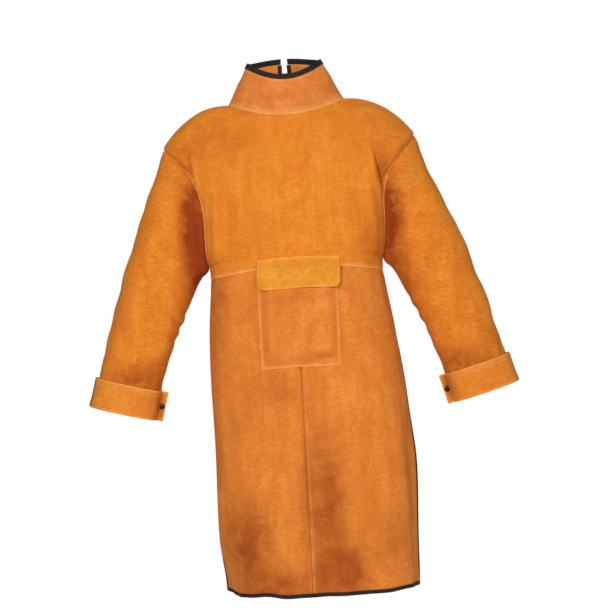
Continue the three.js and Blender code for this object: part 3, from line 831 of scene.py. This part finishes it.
def skirtFolds(run, drop):
    slack = drop * ease(drop / 0.5)
    wave = skirtLook["wave"] * slack * rough(run, drop, 0, (6.2, 0.9, 1), 7.3)
    ripple = skirtLook["ripple"] * ease(drop / 0.12) * rough(run, drop, 0, (15, 2.6, 1), 1.9)
    dent = 0.0022 * ease(drop / 0.04) * bump(drop, 0.14, 0.13) * rough(run, drop, 0, (30, 4, 1), 6.6)
    calm = 1 - 0.75 * bump(run, 0, 0.10) * bump(drop, 0.14, 0.20)
    curl = -skirtLook["curl"] * ease((drop - 0.80) / 0.22) ** 1.5 * bump(run, -0.235, 0.07)
    bow = 0.0030 * ease((drop - 0.94) / 0.06) * rough(run, 0, 0, (26, 1, 1), 8.8)
    out = mix(skirtLook["swing"], -0.004, ease((drop - 0.62) / 0.38)) * ease((run - 0.255) / 0.045)
    swing = ease((drop - 0.42) / 0.20) * (out - skirtLook["valley"] * bump(run, 0.258, 0.030))
    return (wave + ripple + dent) * calm + curl + bow + swing


def skirtRelief(side):
    def relief(u, v, p):
        run, drop = side * fromCentre(u), vDrop(v)
        under = -0.0019 * (1 - ease((drop * skirtDepth + 0.001) / 0.010))
        slope = 0.0052 if side < 0 else 0.0012
        crease = -skirtLook["crease"] * bump(run, 0, slope) + 0.0008 * bump(run, 0.0065 * side, 0.004)
        crease *= ease((drop - 0.03) / 0.08)
        return skirtFolds(run, drop) + under + crease

    return relief


# lighter along the centre seam, most of all low down
def skirtWorn(u, v):
    return 0.75 * bump(fromCentre(u), 0.003, 0.0022) * (0.35 + 0.65 * ease((v - 0.75) / 0.2))


skirts, skirtPieces = {}, {}
for name, side in [("left", 1), ("right", -1)]:
    skirt = surface(lambda u, v, side=side: skirtPlace(side * fromCentre(u), v), skirtRelief(side),
                    out=-side)
    skirts[name] = skirt
    piece = hidePiece(f"skirt_{name}", skirt, skirtLook["cells"], skirtHide, skirtWorn)
    skirtPieces[name] = kept(piece, "coat", "suede", f"skirt_{name}")
    tapePiece(f"skirtEdgeTape_{name}", f"skirt_edge_binding_{name}", skirt,
              lambda s: (np.ones_like(s), mix(0.016, 0.990, s)), (-1 / skirtHalf, 0), 0.70)
    tapePiece(f"hemTape_{name}", f"hem_binding_{name}", skirt,
              lambda s: (mix(0.0, 1.0, s), np.ones_like(s)), (0, -1 / skirtDepth), 0.30, -0.0016)
print("skirt made")

collarEnd = pi - math.atan(body["backGap"] / neck["depth"])
collarLook = {
    "lap": 0.02,
    "cells": (190, 30),
    "crease": 0.0016,
    "girth": 0.56,
    "tall": 0.086,
    "tapeWider": 0.0018,
}


def collarRelief(u, v, p):
    around = np.abs(mix(-collarEnd, collarEnd, u))
    front = 1 - ease((around - 1.9) / 0.5)
    soft = 0.0016 * roughAt(p, (14, 14, 22), 5.9) * np.sin(pi * np.clip(v, 0, 1))
    line = 0.42 + 0.10 * rough(u, 0, 0, (5, 1, 1), 2.4)
    crease = collarLook["crease"] * (0.6 * bump(v, line + 0.18, 0.10) - bump(v, line, 0.10))
    crease *= 1 - 0.8 * ease((around - 1.15) / 0.4)
    return (soft + crease) * front + 0.0010 * np.exp(-np.maximum(v, 0) / 0.12)


def collarWorn(u, v):
    low = 0.9 * bump(v * collarLook["tall"], 0, 0.008)
    return np.maximum(low, 0.5 * bump((1 - v) * collarLook["tall"], 0.011, 0.003))


def collarBase(u, v):
    return collarAt(mix(-collarEnd, collarEnd, u), mix(-collarLook["lap"], 1, v))


collar = surface(collarBase, collarRelief)
piece = hidePiece("collar", collar, collarLook["cells"], collarHide, collarWorn)
collarPiece = kept(piece, "coat", "suede", "collar")
tapePiece("collarTape", "collar_binding", collar, lambda s: (mix(0.0, 1.0, s), np.ones_like(s)),
          (0, -1 / 0.092), collarLook["girth"], collarLook["tapeWider"])
for name, end, into in [("left", 1, -1 / 0.62), ("right", 0, 1 / 0.62)]:
    tapePiece(f"collarEndTape_{name}", f"collar_end_binding_{name}", collar,
              lambda s: (np.full_like(s, end), mix(0.03, 0.87, s)), (into, 0), 0.08)
print("collar made")

pocket = {
    "width": 0.172,
    "height": 0.211,
    "drop": 0.008,
    "depth": 0.010,
    "cells": (90, 110),
}
flap = {
    "width": pocket["width"] + 0.010,
    "height": 0.067,
    "above": 0.018,
    "corner": 0.015,
    "shift": 0.0045,
    "cells": (120, 46),
}


def pocketDrop(v):
    return (pocket["drop"] + v * pocket["height"]) / skirtDepth


def pocketRelief(u, v, p):
    run, drop = (0.5 - u) * pocket["width"], pocketDrop(v)
    swell = ease(np.minimum(u, 1 - u) * 6) * ease((1 - v) * 6)
    slump = 0.0012 * rough(u, v, 0, (4, 5, 1), 3.8)
    slump += 0.0014 * np.sin(pi * v) * rough(u, v, 0, (9, 2, 1), 1.3)
    return skirtFolds(run, drop) + leather + 0.0003 + pocket["depth"] * swell + slump * swell


def pocketBase(u, v):
    return skirtAt((0.5 - u) * pocket["width"] * (1 + 0.014 * (0.5 - v)), pocketDrop(v))


pocketPlace = surface(pocketBase, pocketRelief)
worn = nearEdges(0.0040, u0=pocket["width"], u1=pocket["width"], v1=pocket["height"])
piece = hidePiece("pocket", pocketPlace, pocket["cells"], pocketHide, worn, rounding=0.0004)
pocketPiece = kept(piece, "coat", "suede", "pocket")


def flapCut(u, v):
    u = np.clip(mix(u, 0.5 - 0.5 * np.cos(pi * u), 0.85), 0, 1)
    share = np.clip(1 - np.minimum(u, 1 - u) * flap["width"] / flap["corner"], 0, 1)
    run = flap["shift"] + (0.5 - u) * flap["width"] * mix(0.965, 0.925, v)
    return run, v * (1 - flap["corner"] / flap["height"] * (1 - np.sqrt(1 - share**2)))


def flapDrop(deep):
    return (deep * flap["height"] - flap["above"]) / skirtDepth


def flapRelief(run, deep, p):
    u = 0.5 - run / flap["width"]
    over = pocket["depth"] + 2 * leather + 0.0018
    lift = mix(2 * leather + 0.0010, over, ease((deep - 0.05) / 0.36))
    curl = 0.0010 * ease((deep - 0.8) / 0.2) * rough(u, 0, 0, (6, 1, 1), 5.1)
    folds = skirtFolds(run, np.maximum(flapDrop(deep), 0))
    return folds + lift + curl + 0.0005 * rough(u, deep, 0, (9, 5, 1), 7.7)


flapSheet = surface(lambda run, deep: skirtAt(run, flapDrop(deep)), flapRelief, out=-1)
flapPlace = lambda u, v: flapSheet(*flapCut(u, v))
worn = nearEdges(0.0032, u0=flap["width"], u1=flap["width"], v0=flap["height"], v1=flap["height"])
piece = hidePiece("pocketFlap", flapPlace, flap["cells"], flapHide, worn, 0.0019, 0.0005)
flapPiece = kept(piece, "pocket_flap", "suede", "pocket_flap")
print("pocket made")

seams = [seamLine(chest, [0, 1], [0.0015] * 2, 0.0006)]
seams += [seamLine(backs[name], [0, 0.335], [0.0015] * 2, 0.0006) for name in backs]
beaded("waistSeam", seams, cutEdge, bead["wide"], bead["high"])
rows = [stitchRow(chest, [0.02, 0.98], [0.016] * 2)]
rows += [stitchRow(backs[name], [0.03, 0.32], [0.016] * 2) for name in backs]
sewn("waistStitches", rows)

# the armhole's edge is cut up to foldV, and turned in above it and at the back
lowV, highV = rowV(armpitRow), rowV(tipRow)
foldV = mix(lowV, highV, 0.60)
edgeLines = [seamLine(chest, [side] * 2, [lowV, foldV], 0.0004) for side in (0, 1)]
turnedLines = [seamLine(chest, [side] * 2, [foldV, highV], 0.0002) for side in (0, 1)]
turnedLines += [seamLine(backs[name], [0, 0], [lowV, highV], 0.0002) for name in backs]
beaded("armholeEdges", edgeLines, cutEdge, 0.0013, 0.0012)
beaded("armholeSeams", turnedLines, chestHide, 0.0010, 0.0009)
inset = 0.007 / bodiceLook["wide"]
rows = [stitchRow(chest, [u, u], [lowV, highV]) for u in (1 - inset, inset)]
rows += [stitchRow(backs[name], [2 * inset] * 2, [lowV, highV]) for name in backs]
sewn("armholeStitches", rows, 0.8)
shoulders = [seamLine(chest, [side] * 2, [highV, 0.985]) for side in (0, 1)]
sides = [seamLine(chest, [side] * 2, [0.004, lowV]) for side in (0, 1)]
beaded("shoulderAndSideSeams", shoulders + sides, chestHide)
rows = [stitchRow(backs[name], [0.025] * 2, [highV + 0.01, 0.97]) for name in backs]
sewn("shoulderStitches", rows, 0.9)
beaded("neckSeam", [seamLine(collar, [0.004, 0.996], [0.004] * 2, 0.0006)], cutEdge, 0.0015, 0.0012)
sewn("neckStitches", [stitchRow(collar, [0.02, 0.98], [v, v]) for v in (0.055, 0.135)])
centre = [seamLine(skirts["left"], [0.0, 0.0], [dropV(0.002), 0.985], 0.0006)]
beaded("skirtCentreSeam", centre, skirtHide, 0.0008, 0.0012)
rows = [stitchRow(skirts["left"], [0.040] * 2, [dropV(0.01), 0.975], 0.0008)]
sewn("skirtCentreStitches", rows, 0.7)
inU, inV = 0.006 / pocket["width"], 0.006 / pocket["height"]
sewn("pocketStitches", [
    stitchRow(pocketPlace, [inU, inU], [0.02, 1 - inV]),
    stitchRow(pocketPlace, [inU, 1 - inU], [1 - inV, 1 - inV]),
    stitchRow(pocketPlace, [1 - inU, 1 - inU], [1 - inV, 0.02]),
], 0.8)
sewn("flapStitches", [stitchRow(flapPlace, [0.03, 0.97], [0.085] * 2, 0.0011)], 0.9, "pocket_flap")
tapeRuns = [(skirts[name], [0.004, 0.985], [1 - 0.0042 / skirtDepth] * 2) for name in skirts]
tapeRuns += [(skirts[name], [1 - 0.0050 / skirtHalf] * 2, [0.02, 0.985]) for name in skirts]
tapeRuns += [(backs[name], [1 - 0.029] * 2, [0.02, 0.99]) for name in backs]
tapeRuns.append((collar, [0.01, 0.99], [0.925] * 2))
rows = [stitchRow(*run, stitch["overTape"]) for run in tapeRuns]
kept(stitchPiece("tapeStitches", rows, 0.8, blackThread), "coat", "tape")
print("body seams made")

arm = {
    "length": 0.536,
    "angle": math.radians(19.3),
    "wristTilt": math.radians(15.4),
    "wristWidth": 0.136,
    "wristDepth": 0.112,
    "wristForward": 0.018,
    "shoulderBulge": 0.008,
    "underarmBulge": 0.014,
    "tuck": 0.012,  # length that goes in under the armhole edge
    "tuckIn": 0.0022,
    "hollow": 0.018,  # how deep the sleeve falls in beside the chest
    "cells": (120, 150),
}
across = np.array([math.cos(arm["angle"]), 0, math.sin(arm["angle"])])
downward = np.array([math.sin(arm["angle"]), 0, -math.cos(arm["angle"])])
wristAcross = np.array([math.cos(arm["wristTilt"]), 0, math.sin(arm["wristTilt"])])
wristDown = np.array([math.sin(arm["wristTilt"]), 0, -math.cos(arm["wristTilt"])])
wristOuter = tip + downward * arm["length"]
wristInner = wristOuter - wristAcross * arm["wristWidth"]
wristMiddle = (wristOuter + wristInner) / 2 - np.array([0, arm["wristForward"], 0])


# q is 0 on the outer line and pi under the arm, down is 0 at the armhole and 1 at the wrist
def sleeveAt(q, down):
    q, down = np.broadcast_arrays(np.asarray(q, float), np.asarray(down, float))
    d = np.maximum(down, 0)[..., None]
    outer = mix(tip, wristOuter, d) + across * arm["shoulderBulge"] * np.sin(pi * d)
    inner = mix(armpit, wristInner, d) + across * arm["underarmBulge"] * np.sin(pi * d)
    ahead, deep = rounded(q, 2.2)
    at = (outer + inner) / 2 + (outer - inner) / 2 * deep[..., None]
    half = mix(body["armholeWidth"], arm["wristDepth"], d[..., 0]) / 2
    at[..., 1] -= ahead * half + arm["wristForward"] * d[..., 0] ** 2
    flat = armholeMiddle + armholeUp * deep[..., None]
    flat[..., 1] -= ahead * body["armholeWidth"] / 2
    at = at + (armhole(q) - flat) * np.maximum(0, 1 - d / 0.4) ** 2
    return at + armholeOut * np.minimum(down, 0)[..., None] * arm["length"]


tuckShare = arm["tuck"] / arm["length"]
sleeveQ = lambda u: mix(-pi, pi, u)
sleeveDown = lambda v: mix(-tuckShare, 1, v)


def sleeveRelief(seed):
    def relief(u, v, p):
        q, down = sleeveQ(u), sleeveDown(v)
        inner = 0.5 - 0.5 * np.cos(q)
        wobble = roughAt(p, (9, 9, 9), seed)
        tucked = -arm["tuckIn"] * (1 - ease((down - 0.003) / 0.016))
        roll = 0.0022 * bump(down, 0.050, 0.034)
        broad = 0.0042 * roughAt(p, (6, 6, 5), seed + 3) + 0.0016 * roughAt(p, (11, 11, 26), seed + 5)
        slant = 2 * pi * (down - 0.5) / 0.12 + 1.6 * wobble + 1.4 * np.sin(q)
        elbow = 0.0020 * np.sin(slant) * inner**1.2 * bump(down, 0.50, 0.14)
        under = 0.0030 * np.sin(5 * np.abs(q) + 9 * down + 2 * wobble) * inner * bump(down, 0.14, 0.13)
        gather = 0.0014 * np.sin(13 * q + 3 * wobble) * ease((down - 0.86) / 0.10)
        outerDent = -0.0030 * bump(down, 0.62, 0.05) * (1 - inner) ** 2
        hollow = -arm["hollow"] * bump(q, 2.15, 0.55) * bump(down, 0.14, 0.13)
        calm = ease((down - 0.01) / 0.07) * (1 - 0.55 * ease((down - 0.93) / 0.05))
        gather *= 1 - ease((down - 0.955) / 0.03)
        return tucked + roll + (broad + elbow + under + outerDent + hollow) * calm + gather

    return relief


sleeves, sleevePieces = {}, {}
for name, side, seed in [("left", 1, 12.4), ("right", -1, 31.7)]:
    sleeve = surface(lambda u, v: sleeveAt(sleeveQ(u), sleeveDown(v)), sleeveRelief(seed), mirror=side)
    sleeves[name] = sleeve
    piece = hidePiece(f"sleeve_{name}", sleeve, arm["cells"], sleeveHide, closed=True)
    lines = [seamLine(sleeve, [0.0, 0.0], [0.05, 0.995], 0.0005)]
    seam = beadPiece(f"sleeveSeam_{name}", lines, bead["thin"], bead["low"], [sleeveHide])
    rows = [stitchRow(sleeve, [u, u], [0.05, 0.965]) for u in (0.012, 0.988)]
    seamStitches = stitchPiece(f"sleeveStitches_{name}", rows, 0.8)
    for part in (piece, seam, seamStitches):
        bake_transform(part)
    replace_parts(piece, f"sleeve_{name}")
    sleevePieces[name] = piece
print("sleeves made")

cuff = {
    "height": 0.065,
    "girth": 0.42,
    "proud": 0.005,
    "overlap": 0.012,
    "finLength": 0.016,
    "finRoot": 0.003,
    "finHalf": 0.00345,  # half the space between the fin's leaves, middle to middle
    "turn": math.radians(163),
    "thick": 0.0019,
    "rounding": 0.0005,
    "stitchLift": 0.00105,
    "cells": (150, 34),
    "tabCells": (36, 34),
}
cuffHalf = arm["wristWidth"] / 2 + cuff["proud"]
cuffHalfDepth = arm["wristDepth"] / 2 + cuff["proud"]
finFrom = arm["wristWidth"] / 2 + cuff["finRoot"]
finTo = finFrom + cuff["finLength"]


def cuffPlace(inward, ahead, deep):
    at = wristMiddle - wristAcross * np.asarray(inward)[..., None]
    at = at + wristDown * (deep - cuff["overlap"])[..., None]
    at[..., 1] -= ahead
    return at


def cuffRound(q):
    ahead, deep = rounded(np.asarray(q, float), 2.2)
    return np.stack([-deep * cuffHalf, ahead * cuffHalfDepth], axis=-1)


# a smooth path through [inward, ahead] corners, by share of its length
def pathThrough(corners):
    corners = np.array(corners, float)
    length = np.concatenate([[0], np.cumsum(np.linalg.norm(np.diff(corners, axis=0), axis=1))])
    line = throughRows(length / length[-1], corners)
    return lambda s: line(np.asarray(s, float))


rootTurn, finHalf = cuff["turn"], cuff["finHalf"]
roundPart = [list(cuffRound(q)) for q in np.linspace(-rootTurn, rootTurn, 40)]
backLeaf = [[finTo, -finHalf], [mix(finFrom, finTo, 0.5), -finHalf], [finFrom + 0.001, -finHalf]]
bandPath = pathThrough(backLeaf + roundPart)
hingeAt = cuffRound(rootTurn)[0] + leather + 0.0006
tabPath = pathThrough([list(cuffRound(rootTurn - 0.10)), list(cuffRound(rootTurn - 0.03)),
                       [hingeAt + 0.001, finHalf + 0.0015], [mix(hingeAt, finTo, 0.45), finHalf],
                       [finTo, finHalf]])


# the surface that a path makes when it runs down the cuff
def alongCuff(path):
    return lambda u, v: cuffPlace(path(u)[..., 0], path(u)[..., 1], v * cuff["height"])


def cuffFlare(v):
    return 0.0012 * ease((v - 0.55) / 0.45)


def cuffRelief(u, v, p):
    flare = cuffFlare(v) + 0.0008 * np.exp(-np.maximum(v, 0) / 0.06)
    away = ease(np.minimum(u - 0.06, 1.0 - u) / 0.06)
    return (flare + 0.0016 * roughAt(p, (16, 16, 10), 14.2) + 0.0005 * roughAt(p, (60, 60, 30), 3.2)) * away


def tabRelief(u, v, p):
    soft = 0.0009 * rough(u, v, 0, (3, 4, 1), 2.7) * ease(u / 0.5) * (1 - ease((u - 0.9) / 0.1))
    return soft - 0.0014 * (1 - ease(u / 0.35))


def stripRelief(u, v, p):
    return cuff["thick"] / 2 + 0.0017 + 0.0004 * np.sin(pi * u) + cuffFlare(v)


def stripPath(u):
    return cuffRound(mix(math.radians(-14), math.radians(-1), u))


# paler at the cut edges, and paler over the band's top
def cuffPaleEdgesAndTop(u, v):
    edges = nearEdges(0.0035, u0=cuff["girth"], v0=cuff["height"], v1=cuff["height"])
    return np.maximum(0.8 * edges(u, v), 0.20 * (1 - ease((v - 0.14) / 0.08)))


tabWorn = nearEdges(0.003, u1=0.024, v0=cuff["height"], v1=cuff["height"])


snapCaps = {}
cuffPieces, tabPieces = {}, {}
for name, side in [("left", 1), ("right", -1)]:
    band = surface(alongCuff(bandPath), cuffRelief, mirror=side)
    tab = surface(alongCuff(tabPath), tabRelief, mirror=side)
    piece = hidePiece(f"cuff_{name}", band, cuff["cells"], cuffHide, cuffPaleEdgesAndTop, cuff["thick"],
                      cuff["rounding"])
    cuffPieces[name] = kept(piece, f"sleeve_{name}", "suede", f"cuff_{name}")
    piece = hidePiece(f"cuffTab_{name}", tab, cuff["tabCells"], cuffHide, tabWorn, cuff["thick"],
                      cuff["rounding"])
    hinge = cuffPlace(hingeAt, finHalf, np.array(cuff["height"] / 2))
    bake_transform(piece)
    tabPieces[name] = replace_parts(piece, f"cuff_tab_{name}")
    rows = [stitchRow(band, [0.075, 0.985], [v, v], cuff["stitchLift"]) for v in (0.05, 0.18, 0.93)]
    sewn(f"cuffStitches_{name}", rows, 0.9, f"sleeve_{name}")
    strip = surface(alongCuff(stripPath), stripRelief, mirror=side)
    piece = walled(gridPiece(f"cuffTape_{name}", strip, (8, 30), [blackTape]), 0.0012, rounding=0.0004)
    kept(piece, f"sleeve_{name}", "tape", f"cuff_binding_{name}")
    snapCaps[f"cuff_{name}"] = (f"cuff_tab_{name}", np.array([0, -1.0, 0]))
print("cuffs made")

strap = {
    "height": 0.038,
    "tabHeight": 0.034,
    "sewn": 0.074,
    "free": 0.062,
    "snapInset": 0.016,
    "sewnLift": leather + 0.0005,  # strap's middle above the leather's middle where it is sewn
    "snapLift": 0.0069,  # and where it is snapped
    "boxFrom": 0.025,  # the sewn box with its cross, as shares of the strap
    "boxTo": 0.13,
    "boxSide": 0.12,
    "cells": (90, 26),
}
strapLength = strap["sewn"] + strap["free"]
rowHeight = (centreBack(14.0)[1] - centreBack(0.0)[1]) / neckRow


def rowAtBack(z):
    rows = np.arange(57) * neckRow / 56
    return rows[np.argmax(centreBack(rows)[:, 1] >= z)]


def strapBase(ring, height, scale, middle):
    walk = walked(lambda turn, row: ring(pi - turn, row))

    def base(u, v):
        nearEnd = np.clip((u - 0.93) / 0.07, 0, 1)
        v = 0.5 + (v - 0.5) * (1 - 0.45 * nearEnd**3)
        return walk(mix(strap["sewn"], -strap["free"], u), middle + (v - 0.5) * height / scale)

    return base


def strapRelief(u, v, p):
    lift = mix(strap["sewnLift"], strap["snapLift"], ease(u / 0.28))
    return lift + 0.0004 * rough(u, v, 0, (4, 3, 1), 9.2) * np.sin(pi * np.clip(u, 0, 1))


strapPieces = {}
for name, ring, height, scale, middle in [
    ("waist_strap", bodice, strap["height"], rowHeight, rowAtBack(backWaistZ + 0.042)),
    ("shoulder_strap", bodice, strap["height"], rowHeight, rowAtBack(mix(backWaistZ, tip[2], 0.62))),
    ("collar_tab", collarAt, strap["tabHeight"], neck["height"], 0.48),
]:
    place = surface(strapBase(ring, height, scale, middle), strapRelief)
    worn = nearEdges(0.003, u0=strapLength, u1=strapLength, v0=height, v1=height)
    piece = hidePiece(f"{name}Leather", place, strap["cells"], chestHide, worn, rounding=0.0004)
    strapPieces[name] = kept(piece, name, "suede", name)
    a, b, m = strap["boxFrom"], strap["boxTo"], strap["boxSide"]
    lines = [([a, b, b, a, a], [m, m, 1 - m, 1 - m, m]), ([a, b], [m, 1 - m]), ([a, b], [1 - m, m])]
    sewn(f"{name}Stitches", [stitchRow(place, *line) for line in lines], 0.9, name)
    u = 1 - strap["snapInset"] / strapLength
    snapCaps[name] = (name, normals(place, np.array(u), np.array(0.5)))
print("straps made")

# half outline of a cap, radius and height: dome, groove, rim, underside
capProfile = [(0.0, 0.0018), (0.0020, 0.00172), (0.0036, 0.0015), (0.0047, 0.00118), (0.0051, 0.00095),
              (0.0055, 0.00108), (0.0060, 0.00104), (0.0064, 0.0007), (0.0065, 0.0002), (0.0064, -0.0004),
              (0.0060, -0.0009), (0.0, -0.0009)]
capSink = 0.00085
for name, (bodyName, out) in snapCaps.items():
    low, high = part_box(f"{name}_snap_cap")
    middle = (low + high) / 2
    bm = bmesh.new()
    verts = [bm.verts.new((r, 0, y)) for r, y in capProfile]
    for a, b in zip(verts, verts[1:]):
        bm.edges.new((a, b))
    bmesh.ops.spin(bm, geom=bm.verts[:] + bm.edges[:], axis=(0, 0, 1), cent=(0, 0, 0), angle=2 * pi,
                   steps=36, use_merge=True)
    bmesh.ops.remove_doubles(bm, verts=bm.verts, dist=1e-6)
    bmesh.ops.recalc_face_normals(bm, faces=bm.faces)
    turn = Vector(out).to_track_quat("Z", "Y").to_matrix().to_4x4()
    bm.transform(Matrix.Translation(middle - Vector(out) * capSink) @ turn)
    kept(newPiece(f"{name}SnapCap", bm, [snapMetal]), bodyName, "snap_metal", f"{name}_snap_cap")
    for part in ("socket", "stud", "post"):
        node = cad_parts[f"{name}_snap_{part}"]
        node.data.materials.clear()
        node.data.materials.append(snapMetal)
print("snaps made")

# each sheet's width and length laid flat, and its area where the cut isn't a rectangle
flatSizes = [(chestPiece, (0.60, 0.40), 0.181)]
flatSizes += [(piece, (0.30, 0.40), 0.099) for piece in backPieces.values()]
flatSizes += [(skirtPieces["left"], (0.30, 0.708), 0.200), (skirtPieces["right"], (0.30, 0.708), 0.208)]
flatSizes += [(collarPiece, (0.62, 0.13), 0.0495)]
flatSizes += [(pocketPiece, (0.18, 0.22), 0.0365), (flapPiece, (0.19, 0.07), 0.0122)]
flatSizes += [(piece, (0.46, 0.60), 0.196) for piece in sleevePieces.values()]
flatSizes += [(piece, (cuff["girth"], cuff["height"]), 0.0269) for piece in cuffPieces.values()]
flatSizes += [(piece, (0.032, cuff["height"]), None) for piece in tabPieces.values()]
for name in ("waist_strap", "shoulder_strap"):
    flatSizes.append((strapPieces[name], (strapLength, strap["height"]), None))
flatSizes.append((strapPieces["collar_tab"], (0.138, strap["tabHeight"]), None))

scene = bpy.context.scene
scene.view_settings.view_transform = "Standard"
bm = bmesh.new()
bmesh.ops.create_circle(bm, cap_ends=True, segments=96, radius=1.7)
paleFloor = varied("paleFloor", 3, [(236, 236, 236), (240, 240, 240)], (0.8, 0.9))
floor = newPiece("floor", bm, [paleFloor])
floor.location = (0, 0, -1.45)

world = bpy.data.worlds.new("studio")
scene.world = world
world.use_nodes = True
sky = world.node_tree.nodes["Background"]
seen = nodeIn(world.node_tree, "ShaderNodeLightPath", (-600, 0))  # a white backdrop, and dimmer light
level = mapped(world.node_tree, seen.outputs["Is Camera Ray"], (-300, 0), {"To Min": 0.30, "To Max": 1.0})
world.node_tree.links.new(level, sky.inputs["Strength"])
sky.inputs["Color"].default_value = (1, 1, 1, 1)


def lamp(name, place, aim, size, power, tint=(1, 1, 1)):
    light = bpy.data.lights.new(name, "AREA")
    light.shape, light.size, light.energy, light.color = "DISK", size, power, tint
    holder = bpy.data.objects.new(name, light)
    scene.collection.objects.link(holder)
    holder.location = place
    holder.rotation_euler = (Vector(aim) - Vector(place)).to_track_quat("-Z", "Y").to_euler()


lamp("keyLight", (-0.8, -3.2, 0.75), (0, 0, -0.50), 1.0, 71)
lamp("fillLight", (1.9, -3.2, 0.2), (0, 0, -0.5), 1.6, 34)
lamp("rimLight", (0.6, 2.8, 1.4), (0, 0, -0.4), 1.6, 40)

view = {
    "distance": 4.5,
    "x": 0.0155,
    "z": -0.449,
    "width": 1.3464,
    "roll": math.radians(-3.54),
    "sensor": 36,
}
camera = bpy.data.cameras.new("camera")
camera.sensor_width = view["sensor"]
camera.lens = view["sensor"] * view["distance"] / view["width"]
holder = bpy.data.objects.new("camera", camera)
scene.collection.objects.link(holder)
holder.matrix_world = (Matrix.Translation((view["x"], -view["distance"], view["z"]))
                       @ Matrix.Rotation(pi / 2, 4, "X") @ Matrix.Rotation(view["roll"], 4, "Z"))
scene.camera = holder
print("stage made")
